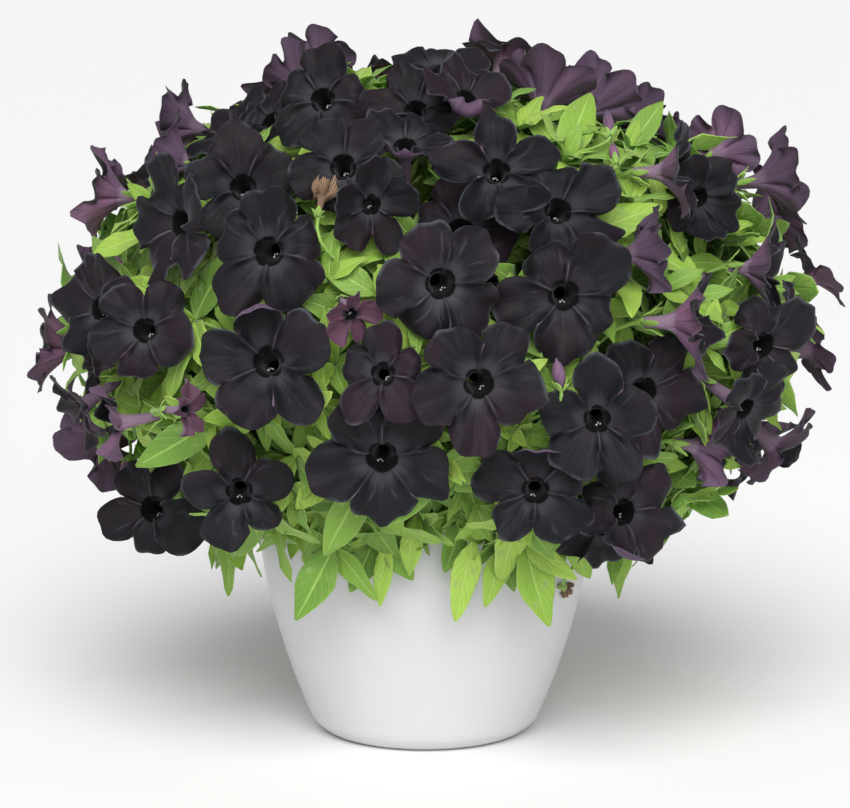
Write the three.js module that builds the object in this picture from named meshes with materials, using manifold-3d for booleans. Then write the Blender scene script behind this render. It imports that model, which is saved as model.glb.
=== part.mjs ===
// A potted petunia with near-black trumpet flowers, standing in a plain white pot.
// Millimetres, +Z up. The origin is the middle of the pot's flat foot.
import * as THREE from "three";
import { mergeVertices } from "three/addons/utils/BufferGeometryUtils.js";
import Module from "manifold-3d";

const wasm = await Module();
wasm.setup();

// ---------------------------------------------------------------- driving dimensions
const POT = { height: 125, footRadius: 50, cornerRadius: 7, wall: 2.6, floor: 3.4, sides: 32 };
POT.bends = [0.07, 0.25, 0.55];
const LIP = { height: 7 };
const DRAIN = { count: 5, radius: 4.5, fromAxis: 31, sides: 8 };
const SOIL = { edgeHeight: 108, crownHeight: 113, holeDepth: 26, holeClearance: 1.2 };
const GAP = 0.3; // clearance between neighbouring pieces

// The plant is a dome: the mouths of the flowers lie on this ellipsoid, lower half flatter.
const DOME = { x: 5, y: 0, z: 207, across: 205, deep: 186, up: 158, down: 125 };
const CROWN = new THREE.Vector3(0, 0, 132); // where the stems part

// Leafy stems stand in three tiers; rise is the slope of a tier, reach the share of the dome.
const STEM = { rootRadius: 2.4, tipRadius: 1.3, sides: 4, steps: 5 };
const TIERS = [
  { count: 7, rise: 8, reach: 0.66, rootCircle: 54, turn: -64 },
  { count: 5, rise: 42, reach: 0.68, rootCircle: 34, turn: -90 },
  { count: 2, rise: 72, reach: 0.66, rootCircle: 13, turn: 20 },
];
const STALK = { radius: 1.15, collar: 1.9, steps: 2, blooms: 3, forkShare: 0.45 };
const BLOOM = { throat: 0.085, tubeEnd: 0.05, tube: 0.56, funnel: 0.12, wall: 0.8, blade: 1.3 };
// The lobes of a flower differ: their bend by spread degrees, their length, the cut between them.
// Some hang loose and bend farther back, but none beyond the farthest.
const LOBES = { spread: 36, longer: 0.28, shallow: 0.3, deep: 0.6, loose: 0.17, hang: 50, farthest: -88 };
const LEAF = { blade: 1.5, fold: 0.2, widest: 0.8, apart: 14 };
const SPRIG = { tries: 240, shell: 0.87, apart: 37, radius: 1.2, steps: 2, hub: 2.4, leaves: 4 };
SPRIG.longest = 50;
SPRIG.shorter = 40;
const HIDDEN = { tries: 118, lowest: -0.62, apart: 51, closer: 7, smallest: 50, largest: 62 };
const LAYER = { apart: 7, tube: 4, slides: [0, 7, -7, 14, -14, 21, 28, 35, 42] };

// The view in which the front flowers are placed: the eye looks along +Y and slightly down.
const VIEW = { rise: 8.7, distance: 1700, aim: 175, middleX: 425, middleY: 404, mmPerPixel: 0.53 };

// The flowers of the front half, the foremost first. px and py are the mouth in the view; yaw turns
// the flower to the right and pitch up, as the viewer sees it; wide is its diameter in mm. back moves
// it away from the viewer, reflex bends its lobes forward (+) or backward (-), and fold bends the
// lobe nearest to the clock angle "at" (0 is up, 90 is left) by that much more.
const FRONT = [
  { px: 442, py: 284, yaw: 6, pitch: -6, wide: 66, roll: 20 },
  { px: 267, py: 252, yaw: -6, pitch: -5, wide: 64, roll: 0 },
  { px: 565, py: 296, yaw: 3, pitch: -5, wide: 64, roll: 30 },
  { px: 266, py: 360, yaw: -4, pitch: 5, wide: 66, roll: 12, at: 20, fold: 95 },
  { px: 480, py: 384, yaw: 6, pitch: -6, wide: 64, roll: 36 },
  { px: 381, py: 465, yaw: -2, pitch: -16, wide: 67, roll: 36, reflex: -6 },
  { px: 241, py: 183, yaw: -3, pitch: 10, wide: 59, roll: 8 },
  { px: 343, py: 165, yaw: 0, pitch: 8, wide: 56, roll: 30 },
  { px: 322, py: 97, yaw: -5, pitch: 12, wide: 55, roll: 0 },
  { px: 563, py: 207, yaw: 12, pitch: 10, wide: 57, roll: 14 },
  { px: 598, py: 422, yaw: 0, pitch: -10, wide: 58, roll: 0 },
  { px: 650, py: 393, yaw: 20, pitch: -8, wide: 62, roll: 36 },
  { px: 536, py: 492, yaw: 0, pitch: -5, wide: 58, roll: 0, at: 0, fold: 60 },
  { px: 239, py: 494, yaw: 2, pitch: -8, wide: 60, roll: 10, pointed: 0.6 },
  { px: 148, py: 508, yaw: -24, pitch: 4, wide: 60, roll: 36, pointed: 0.3 },
  { px: 383, py: 374, yaw: 0, pitch: 0, wide: 52, roll: 0, pointed: 0.7 },
  { px: 497, py: 170, yaw: 0, pitch: 5, wide: 57, roll: 5, pointed: 1, reflex: 10 },
  { px: 168, py: 222, yaw: -50, pitch: 0, wide: 61, roll: 20 },
  { px: 143, py: 330, yaw: -10, pitch: 0, wide: 54, roll: 36, at: 180, fold: 40 },
  { px: 92, py: 308, yaw: -45, pitch: 5, wide: 56, roll: 10 },
  { px: 772, py: 348, yaw: 32, pitch: -12, wide: 57, roll: 20 },
  { px: 750, py: 412, yaw: 50, pitch: -30, wide: 55, roll: 36, at: 180, fold: 50 },
  { px: 630, py: 512, yaw: 35, pitch: 0, wide: 60, roll: 10, at: 150, fold: 85 },
  { px: 605, py: 535, yaw: 10, pitch: -45, wide: 52, roll: 30, back: 12 },
  { px: 706, py: 200, yaw: 30, pitch: -16, wide: 48, roll: 36, back: 20, at: 180, fold: 60 },
  { px: 470, py: 95, yaw: 30, pitch: 30, wide: 51, roll: -4, at: 140, fold: 110 },
  { px: 405, py: 140, yaw: 0, pitch: 45, wide: 50, roll: 36, at: 180, fold: 70 },
  { px: 437, py: 62, yaw: 0, pitch: 50, wide: 55, roll: 0 },
  { px: 372, py: 206, yaw: 18, pitch: -18, wide: 44, roll: 0, back: 13, reflex: 34 },
  { px: 462, py: 226, yaw: 5, pitch: 25, wide: 60, roll: 0, back: 20 },
  { px: 415, py: 106, yaw: -5, pitch: 25, wide: 48, roll: 20, back: 20 },
  { px: 224, py: 126, yaw: -55, pitch: 40, wide: 50, roll: 0, back: 14 },
  { px: 266, py: 116, yaw: -45, pitch: 35, wide: 48, roll: 20, back: 22 },
  { px: 88, py: 192, yaw: -97, pitch: 8, wide: 51, roll: 0, reflex: -42 },
  { px: 172, py: 124, yaw: -105, pitch: 12, wide: 46, roll: 20, reflex: -26 },
  { px: 155, py: 155, yaw: -98, pitch: 15, wide: 44, roll: 0, reflex: -30 },
  { px: 322, py: 52, yaw: 160, pitch: 50, wide: 46, roll: 10, back: 40, reflex: -30 },
  { px: 282, py: 75, yaw: -120, pitch: 35, wide: 42, roll: 0, back: 40, reflex: -20 },
  { px: 550, py: 78, yaw: 150, pitch: 60, wide: 55, roll: 10, back: 20, reflex: -22 },
  { px: 605, py: 95, yaw: 130, pitch: 35, wide: 52, roll: 0, back: 46, reflex: -15 },
  { px: 650, py: 118, yaw: 120, pitch: 30, wide: 46, roll: 30, back: 50, reflex: -15 },
  { px: 690, py: 172, yaw: 77, pitch: 0, wide: 50, roll: 0, reflex: -30 },
  { px: 722, py: 150, yaw: 150, pitch: 20, wide: 46, roll: 20, back: 50, reflex: -10 },
  { px: 788, py: 176, yaw: 98, pitch: 10, wide: 51, roll: 0, reflex: -34 },
  { px: 658, py: 252, yaw: 100, pitch: 5, wide: 46, roll: 0, reflex: -48, pointed: 0.3 },
  { px: 784, py: 272, yaw: 75, pitch: -5, wide: 50, roll: 0, reflex: -20 },
  { px: 790, py: 322, yaw: 80, pitch: 0, wide: 46, roll: 36, back: 30 },
  { px: 705, py: 322, yaw: 80, pitch: 0, wide: 53, roll: 12, reflex: -26, pointed: 0.7 },
  { px: 715, py: 450, yaw: 110, pitch: -10, wide: 42, roll: 0, back: 30, reflex: -20 },
  { px: 76, py: 366, yaw: -75, pitch: -5, wide: 42, roll: 0, back: 12, pointed: 0.5 },
  { px: 80, py: 408, yaw: -70, pitch: -35, wide: 44, roll: 20, pointed: 0.2 },
  { px: 112, py: 424, yaw: -80, pitch: -10, wide: 42, roll: 0, back: -12, reflex: 24, pointed: 0.4 },
  { px: 190, py: 410, yaw: 60, pitch: 0, wide: 28, roll: 0, back: -14, reflex: 10, pointed: 0.8 },
  { px: 352, py: 316, yaw: 20, pitch: -30, wide: 30, roll: 0, back: 4, reflex: 30, pointed: 0.8 },
];

// The leaves that hang over the front of the pot: each tuft's place in the view, its distance from
// the pot's axis, and the tips of its leaves.
const HANGING = [
  {
    px: 334,
    py: 546,
    from: 108,
    leaves: [{ tipX: 300, tipY: 622, wide: 20 }, { tipX: 378, tipY: 600, wide: 12 }],
  },
  {
    px: 388,
    py: 541,
    from: 106,
    leaves: [{ tipX: 377, tipY: 606, wide: 10 }, { tipX: 413, tipY: 580, wide: 14 }],
  },
  { px: 462, py: 520, from: 104, leaves: [{ tipX: 446, tipY: 573, wide: 13 }] },
  { px: 474, py: 540, from: 111, leaves: [{ tipX: 450, tipY: 620, wide: 15 }] },
  { px: 503, py: 545, from: 105, leaves: [{ tipX: 487, tipY: 607, wide: 14 }] },
  {
    px: 524,
    py: 543,
    from: 110,
    leaves: [{ tipX: 543, tipY: 628, wide: 20 }, { tipX: 575, tipY: 582, wide: 12 }],
  },
];
const SKIRT = { from: 0.55, hang: 108, tufts: 8, height: 121, leaves: 3, longest: 44, shortest: 30 };
SKIRT.wide = 19;

const COLOURS = {
  pot: { color: 0xe7e7ea, roughness: 0.32, metalness: 0 },
  soil: { color: 0x2e241c, roughness: 0.95, metalness: 0 },
  leafy: { color: 0x86b23c, roughness: 0.55, metalness: 0 },
  petals: { color: 0x2a2030, roughness: 0.7, metalness: 0 },
};

// ---------------------------------------------------------------- small helpers
const radians = (degrees) => (degrees * Math.PI) / 180;
const GOLDEN = Math.PI * (3 - Math.sqrt(5));
const UP = new THREE.Vector3(0, 0, 1);
const vector = (x, y, z) => new THREE.Vector3(x, y, z);
const along = (from, direction, length) => from.clone().addScaledVector(direction, length);

// A repeatable chance in 0..1 for the pair (item, use): two steps of a linear congruential rule.
function chance(item, use) {
  let state = (item * 7919 + use * 104729 + 12345) % 4294967296;
  for (let step = 0; step < 2; step++) {
    state = (Math.imul(state, 1664525) + 1013904223) >>> 0;
  }
  return state / 4294967296;
}

// A closed solid from points and triangles that share them.
function solidOf(points, triangles) {
  const vertProperties = new Float32Array(points.flatMap((p) => [p.x, p.y, p.z]));
  const triVerts = new Uint32Array(triangles.flat());
  return new wasm.Manifold(new wasm.Mesh({ numProp: 3, vertProperties, triVerts }));
}

// A three.js geometry as a solid.
function solidFrom(geometry) {
  const bare = geometry.index ? geometry.toNonIndexed() : geometry.clone();
  bare.deleteAttribute("normal");
  bare.deleteAttribute("uv");
  const merged = mergeVertices(bare, 1e-4);
  const vertProperties = new Float32Array(merged.attributes.position.array);
  const triVerts = new Uint32Array(merged.index.array);
  return new wasm.Manifold(new wasm.Mesh({ numProp: 3, vertProperties, triVerts }));
}

const joined = (solids) => solids.reduce((whole, next) => whole.add(next));

function boxesMeet(a, b) {
  const p = a.boundingBox();
  const q = b.boundingBox();
  return [0, 1, 2].every((i) => p.min[i] <= q.max[i] && q.min[i] <= p.max[i]);
}

// The solid less every cutter that comes near it.
function cut(solid, cutters) {
  return cutters.filter((c) => boxesMeet(solid, c)).reduce((left, c) => left.subtract(c), solid);
}

// The largest body of a solid, with loose scraps dropped.
function mainBody(solid) {
  const bodies = solid.simplify(0.02).decompose();
  return bodies.reduce((best, next) => (next.volume() > best.volume() ? next : best));
}

function meshOf(name, solid, finish) {
  const { vertProperties, triVerts } = solid.getMesh();
  const geometry = new THREE.BufferGeometry();
  geometry.setAttribute("position", new THREE.BufferAttribute(new Float32Array(vertProperties), 3));
  geometry.setIndex(new THREE.BufferAttribute(new Uint32Array(triVerts), 1));
  geometry.computeVertexNormals();
  const mesh = new THREE.Mesh(geometry, new THREE.MeshStandardMaterial({ ...finish, flatShading: true }));
  mesh.name = name;
  return mesh;
}

// ---------------------------------------------------------------- the view and the dome
const eyeRise = radians(VIEW.rise);
const eyeForward = vector(0, Math.cos(eyeRise), -Math.sin(eyeRise));
const eyeUp = vector(0, Math.sin(eyeRise), Math.cos(eyeRise));
const eyeRight = vector(1, 0, 0);
const eye = along(vector(0, 0, VIEW.aim), eyeForward, -VIEW.distance);
const focalPixels = VIEW.distance / VIEW.mmPerPixel;

// The direction of sight through a pixel.
function sight(px, py) {
  const across = (px - VIEW.middleX) / focalPixels;
  const down = (py - VIEW.middleY) / focalPixels;
  return eyeForward.clone().addScaledVector(eyeRight, across).addScaledVector(eyeUp, -down).normalize();
}

// A point in the dome's own measure: its length is 1 on the dome's skin.
function domeMeasure(p) {
  const rise = p.z > DOME.z ? DOME.up : DOME.down;
  return vector((p.x - DOME.x) / DOME.across, (p.y - DOME.y) / DOME.deep, (p.z - DOME.z) / rise);
}

const domeCentre = vector(DOME.x, DOME.y, DOME.z);

// The first point on the line of sight that lies on the dome, or the nearest one to it.
function onDome(px, py) {
  const ray = sight(px, py);
  const nearest = 20;
  const farthest = 400;
  let best = null;
  for (let depth = VIEW.distance - farthest; depth < VIEW.distance + nearest; depth += 1) {
    const p = along(eye, ray, depth);
    const level = domeMeasure(p).length();
    if (level <= 1) return { point: p, ray };
    if (!best || level < best.level) best = { point: p, ray, level };
  }
  return best;
}

// The point of the dome in a unit direction, shrunk by share, and the outward normal there.
function domePoint(direction, share) {
  const rise = direction.z > 0 ? DOME.up : DOME.down;
  const p = vector(direction.x * DOME.across, direction.y * DOME.deep, direction.z * rise);
  const normal = vector(direction.x / DOME.across, direction.y / DOME.deep, direction.z / rise);
  return { point: p.multiplyScalar(share).add(domeCentre), normal: normal.normalize() };
}

// Direction number i of n, spread evenly over the sphere from height low to height high.
function evenDirection(i, n, low, high) {
  const height = high - ((i + 0.5) / n) * (high - low);
  const circle = Math.sqrt(1 - height * height);
  return vector(circle * Math.cos(GOLDEN * i), circle * Math.sin(GOLDEN * i), height);
}

// How far the dome lies from the crown in a direction, found by halving.
function reachFrom(start, direction) {
  let inside = 0;
  let outside = 400;
  for (let step = 0; step < 40; step++) {
    const middle = (inside + outside) / 2;
    if (domeMeasure(along(start, direction, middle)).length() < 1) inside = middle;
    else outside = middle;
  }
  return inside;
}

// ---------------------------------------------------------------- where the flowers are
function facingOf(yaw, pitch) {
  const flat = Math.cos(radians(pitch));
  return vector(0, 0, 0)
    .addScaledVector(eyeRight, Math.sin(radians(yaw)) * flat)
    .addScaledVector(eyeUp, Math.sin(radians(pitch)))
    .addScaledVector(eyeForward, -Math.cos(radians(yaw)) * flat);
}

// A flower's own frame: facing is its axis, upward its clock's 12 and leftward its clock's 9.
function framed(bloom, number) {
  const upward = along(UP, bloom.facing, -UP.dot(bloom.facing)).normalize();
  const leftward = bloom.facing.clone().cross(upward);
  const lobes = [];
  const longer = [];
  const notches = [];
  for (let k = 0; k < 5; k++) {
    const at = bloom.roll + 72 * k;
    const turned = Math.abs((((bloom.at - at) % 360) + 540) % 360 - 180);
    const folded = bloom.fold && turned < 36 ? bloom.fold : 0;
    const hung = !folded && chance(number, 170 + k) < LOBES.loose ? LOBES.hang : 0;
    const bend = bloom.reflex + folded - hung + LOBES.spread * (chance(number, 10 + k) - 0.5);
    lobes.push(radians(Math.max(LOBES.farthest, bend)));
    longer.push(LOBES.longer * (chance(number, 140 + k) - 0.5));
    notches.push(LOBES.shallow + (LOBES.deep - LOBES.shallow) * chance(number, 180 + k));
  }
  return { ...bloom, upward, leftward, lobes, longer, notches };
}

function frontBlooms() {
  return FRONT.map((seen) => {
    const { point, ray } = onDome(seen.px, seen.py);
    return {
      mouth: along(point, ray, seen.back || 0),
      slide: ray,
      facing: facingOf(seen.yaw, seen.pitch),
      radius: seen.wide / 2,
      roll: seen.roll,
      reflex: seen.reflex === undefined ? -10 : seen.reflex,
      at: seen.at || 0,
      fold: seen.fold || 0,
      pointed: seen.pointed || 0,
    };
  });
}

// The flowers that the view doesn't show: evenly spread, kept clear of those already there.
function hiddenBlooms(taken) {
  const made = [];
  for (let i = 0; i < HIDDEN.tries; i++) {
    const direction = evenDirection(i, HIDDEN.tries, HIDDEN.lowest, 0.99);
    const { point, normal } = domePoint(direction, 1 + 0.06 * (chance(i, 1) - 0.5));
    const seen = normal.dot(eyeForward) < -0.33;
    const apart = HIDDEN.apart - HIDDEN.closer * Math.max(0, direction.z);
    const crowded = [...taken, ...made].some((b) => b.mouth.distanceTo(point) < apart);
    if (seen || crowded) continue;
    const facing = normal.clone();
    facing.x += 0.7 * (chance(i, 2) - 0.5);
    facing.y += 0.7 * (chance(i, 3) - 0.5);
    facing.z += 0.7 * (chance(i, 4) - 0.45);
    made.push({
      mouth: point,
      slide: normal.clone().negate(),
      facing: facing.normalize(),
      radius: (HIDDEN.smallest + (HIDDEN.largest - HIDDEN.smallest) * chance(i, 5)) / 2,
      roll: 72 * chance(i, 6),
      reflex: -26 * chance(i, 7) * chance(i, 8) - 4,
      at: 360 * chance(i, 9),
      fold: chance(i, 20) < 0.2 ? 80 : 0,
      pointed: chance(i, 21) < 0.3 ? 0.6 : 0,
    });
  }
  return made;
}

// Whether two flowers' rims, taken as flat discs, cut each other.
function discsCross(a, b) {
  const between = b.mouth.clone().sub(a.mouth);
  if (between.length() > a.radius + b.radius) return false;
  const line = a.facing.clone().cross(b.facing);
  const slant = line.length();
  if (slant < 0.12) return Math.abs(between.dot(a.facing)) < LAYER.apart;
  line.divideScalar(slant);
  const inward = line.clone().cross(a.facing);
  const offA = between.dot(b.facing) / inward.dot(b.facing);
  const fromB = along(a.mouth, inward, offA).sub(b.mouth);
  const shift = fromB.dot(line);
  const offB = fromB.addScaledVector(line, -shift).length();
  if (Math.abs(offA) > a.radius || offB > b.radius) return false;
  return Math.abs(shift) < Math.sqrt(a.radius ** 2 - offA ** 2) + Math.sqrt(b.radius ** 2 - offB ** 2);
}

// Whether the tube behind one flower runs through the disc of another.
function tubeCrosses(a, b) {
  const start = a.mouth.clone().sub(b.mouth);
  const end = along(start, a.facing, -2 * BLOOM.tube * a.radius);
  const from = start.dot(b.facing);
  const to = end.dot(b.facing);
  return from * to < 0 && start.lerp(end, from / (from - to)).length() < b.radius + LAYER.tube;
}

// Each flower slides along its own line, nearer or farther, to where it cuts the fewest before it.
function settled(blooms) {
  blooms.forEach((bloom, j) => {
    const earlier = blooms.slice(0, j);
    let best = { count: Infinity };
    for (const slide of LAYER.slides) {
      const moved = { ...bloom, mouth: along(bloom.mouth, bloom.slide, slide) };
      const met = (b) => discsCross(moved, b) + tubeCrosses(moved, b) + tubeCrosses(b, moved);
      const count = earlier.reduce((sum, b) => sum + met(b), 0);
      if (count < best.count) best = { count, mouth: moved.mouth };
    }
    bloom.mouth = best.mouth;
  });
  return blooms;
}

const front = frontBlooms();
const blooms = settled([...front, ...hiddenBlooms(front)]).map(framed);
for (const bloom of blooms) {
  bloom.foot = along(bloom.mouth, bloom.facing, -2 * BLOOM.tube * bloom.radius);
}

// ---------------------------------------------------------------- where the stems are
function stems() {
  const made = [];
  for (const tier of TIERS) {
    for (let i = 0; i < tier.count; i++) {
      const turn = radians(tier.turn + (360 * i) / tier.count);
      const rise = radians(tier.rise);
      const outward = vector(Math.cos(turn), Math.sin(turn), 0);
      const heading = outward.clone().multiplyScalar(Math.cos(rise)).addScaledVector(UP, Math.sin(rise));
      const length = tier.reach * reachFrom(CROWN, heading);
      const root = outward.clone().multiplyScalar(tier.rootCircle);
      const path = new THREE.CatmullRomCurve3([
        vector(root.x, root.y, SOIL.edgeHeight - SOIL.holeDepth + 4),
        vector(root.x, root.y, SOIL.crownHeight + 4),
        along(along(CROWN, heading, 0.5 * length), UP, 10),
        along(CROWN, heading, length),
      ]);
      made.push({ heading, path, root, blooms: [], sprays: [], tufts: [] });
    }
  }
  return made;
}

const leafyStems = stems();

// The point and heading at a share of a stem, on the straight runs between its rings.
function onStem(stem, share) {
  const ring = Math.min(STEM.steps - 1, Math.floor(share * STEM.steps));
  const from = stem.path.getPoint(ring / STEM.steps);
  const to = stem.path.getPoint((ring + 1) / STEM.steps);
  const heading = to.clone().sub(from).normalize();
  return { point: from.lerp(to, share * STEM.steps - ring), heading };
}

// The stem whose heading, from the crown, is nearest to a point.
function stemNear(point) {
  const heading = point.clone().sub(CROWN).normalize();
  return leafyStems.reduce((best, s) => (s.heading.dot(heading) > best.heading.dot(heading) ? s : best));
}

for (const bloom of blooms) {
  stemNear(bloom.foot).blooms.push(bloom);
}

// A curve that leaves start along one direction and arrives at end along another.
function bent(start, leaving, end, arriving, pull) {
  const length = start.distanceTo(end);
  return new THREE.CubicBezierCurve3(
    start,
    along(start, leaving, pull * length),
    along(end, arriving, -pull * length),
    end,
  );
}

// The flowers of one stem in sprays of two or three: neighbours round the stem go together.
function spraysOf(stem) {
  const side = stem.heading.clone().cross(Math.abs(stem.heading.z) < 0.9 ? UP : eyeRight).normalize();
  const other = stem.heading.clone().cross(side);
  const angle = (bloom) => {
    const off = bloom.foot.clone().sub(CROWN);
    return Math.atan2(off.dot(other), off.dot(side));
  };
  const ordered = [...stem.blooms].sort((a, b) => angle(a) - angle(b));
  const count = Math.ceil(ordered.length / STALK.blooms);
  const made = [];
  for (let i = 0; i < count; i++) {
    const from = Math.round((i * ordered.length) / count);
    const to = Math.round(((i + 1) * ordered.length) / count);
    const group = ordered.slice(from, to);
    const middle = group.reduce((sum, b) => sum.add(b.foot), vector(0, 0, 0)).divideScalar(group.length);
    const at = 0.62 + (0.3 * (i + 0.5)) / count;
    const { point, heading } = onStem(stem, at);
    const outward = middle.clone().sub(point);
    outward.addScaledVector(heading, -outward.dot(heading)).normalize();
    const joint = along(point, outward, STEM.rootRadius + STALK.collar + 2 * GAP);
    const fork = joint.clone().lerp(middle, STALK.forkShare);
    made.push({ group, joint, fork, leaving: heading.clone().add(outward).normalize() });
  }
  return made;
}

for (const stem of leafyStems) {
  stem.sprays = spraysOf(stem);
}
const sprays = leafyStems.flatMap((stem) => stem.sprays);
for (const spray of sprays) {
  const onward = spray.fork.clone().sub(spray.joint).normalize();
  spray.trunk = bent(spray.joint, spray.leaving, spray.fork, onward, 0.3);
  spray.stalks = spray.group.map((bloom, i) => {
    const straight = bloom.foot.clone().sub(spray.fork).normalize();
    return bent(spray.fork, i ? straight : onward, bloom.foot, bloom.facing, 0.34);
  });
}

// ---------------------------------------------------------------- where the leaves are
// Whether a point lies in a flower, or so close before its face that it would hide it.
function inBloom(p, clear) {
  return blooms.some((bloom) => {
    const off = p.clone().sub(bloom.mouth);
    const ahead = off.dot(bloom.facing);
    const aside = Math.sqrt(Math.max(0, off.lengthSq() - ahead * ahead));
    const throat = 2 * BLOOM.throat * bloom.radius;
    if (aside > bloom.radius + clear) return false;
    if (aside < throat + clear && ahead < 0 && ahead > -2 * BLOOM.tube * bloom.radius - clear) return true;
    const share = Math.min(1, Math.max(0, (aside - throat) / (bloom.radius - throat)));
    const skin = -2 * BLOOM.funnel * bloom.radius * (1 - share) ** 2;
    return ahead > skin - clear - 0.1 * bloom.radius && ahead < 40;
  });
}

// A leaf: base, direction, upper side, length, half width and droop (its tip's fall per length).
function leafOf(base, direction, upper, length, half, droop) {
  const across = direction.clone().cross(upper).normalize();
  const face = across.clone().cross(direction).normalize();
  return { base, direction, across, face, length, half, droop };
}

// The point at share s along the leaf's midrib and share w across it, from -1 to 1.
function leafPoint(leaf, s, w) {
  const half = leaf.half * Math.sin(Math.PI * Math.min(1, Math.max(0, s)) ** LEAF.widest);
  const p = along(leaf.base, leaf.direction, leaf.length * s * (1 - 0.25 * leaf.droop * s));
  p.addScaledVector(leaf.face, -leaf.length * leaf.droop * s * s + LEAF.fold * half * Math.abs(w));
  return p.addScaledVector(leaf.across, half * w);
}

const LEAF_TESTS = [[0.3, 1], [0.3, -1], [0.5, 0], [0.75, 1], [0.75, -1], [1, 0]];
const leafIsClear = (leaf) => !LEAF_TESTS.some(([s, w]) => inBloom(leafPoint(leaf, s, w), 3));

const leafMiddles = [];

// Two directions across an axis, from which turns round it are counted.
function aroundAxis(axis) {
  const side = axis.clone().cross(UP).normalize();
  return { side, top: axis.clone().cross(side) };
}

// A tuft's leaves stand round the end of its branch, long and short in turn. A leaf that would run
// into a flower stands up more, lies lower or stays smaller, or is left out.
function tuftLeaves(hub, axis, number) {
  const { side, top } = aroundAxis(axis);
  const made = [];
  for (let i = 0; i < SPRIG.leaves; i++) {
    const loose = i + 0.5 * (chance(number, i) - 0.5);
    const turn = radians((360 / SPRIG.leaves) * loose + 72 * chance(number, 9));
    const outward = side.clone().multiplyScalar(Math.cos(turn)).addScaledVector(top, Math.sin(turn));
    const full = (i % 2 ? SPRIG.shorter : SPRIG.longest) + 8 * (chance(number, 10 + i) - 0.5);
    for (const [lean, size] of [[62, 1], [44, 1], [80, 0.9], [34, 0.8], [55, 0.65]]) {
      const spread = radians(lean);
      const ahead = axis.clone().multiplyScalar(Math.cos(spread));
      const direction = ahead.addScaledVector(outward, Math.sin(spread));
      const length = full * size;
      const droop = 0.1 + 0.15 * chance(number, 20 + i);
      const leaf = leafOf(hub, direction, axis, length, 0.2 * length + 1.5, droop);
      const middle = leafPoint(leaf, 0.6, 0);
      if (!leafIsClear(leaf) || leafMiddles.some((p) => p.distanceTo(middle) < LEAF.apart)) continue;
      leafMiddles.push(middle);
      made.push({ ...leaf, turn });
      break;
    }
  }
  return made;
}

// The least distance between two curves, measured between points of each past their first fifth.
function curvesApart(a, b) {
  let least = Infinity;
  for (let i = 3; i <= 15; i++) {
    const p = a.getPoint(i / 15);
    for (let j = 3; j <= 15; j++) {
      least = Math.min(least, p.distanceTo(b.getPoint(j / 15)));
    }
  }
  return least;
}

const inTheWay = [...sprays.flatMap((spray) => [spray.trunk, ...spray.stalks])];

// A leafy tuft on its own branch, from the first place on the stem from which no stalk is in the way.
function branchTo(stem, hub, axis, pull, places) {
  for (const at of places) {
    const { point, heading } = onStem(stem, at);
    const path = bent(point, heading, hub, axis, pull);
    const others = [...inTheWay, ...leafyStems.filter((other) => other !== stem).map((other) => other.path)];
    if (!others.some((other) => curvesApart(other, path) < 4.5)) return path;
  }
  return null;
}

// Leafy tufts fill the gaps between the flowers, each from the stem that heads that way.
function growTufts() {
  const taken = [];
  for (let i = 0; i < SPRIG.tries; i++) {
    const direction = evenDirection(i, SPRIG.tries, -0.72, 0.97);
    const { point, normal } = domePoint(direction, SPRIG.shell + 0.08 * (chance(i, 31) - 0.5));
    if (inBloom(point, 2) || taken.some((p) => p.distanceTo(point) < SPRIG.apart)) continue;
    const stem = stemNear(point);
    const path = branchTo(stem, point, normal, 0.35, [0.7, 0.8, 0.6, 0.9, 0.5]);
    if (!path) continue;
    const leaves = tuftLeaves(point, normal, 1000 + i);
    if (leaves.length < 3) continue;
    taken.push(point);
    inTheWay.push(path);
    stem.tufts.push({ path, hub: point, axis: normal, leaves });
  }
}

growTufts();

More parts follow.
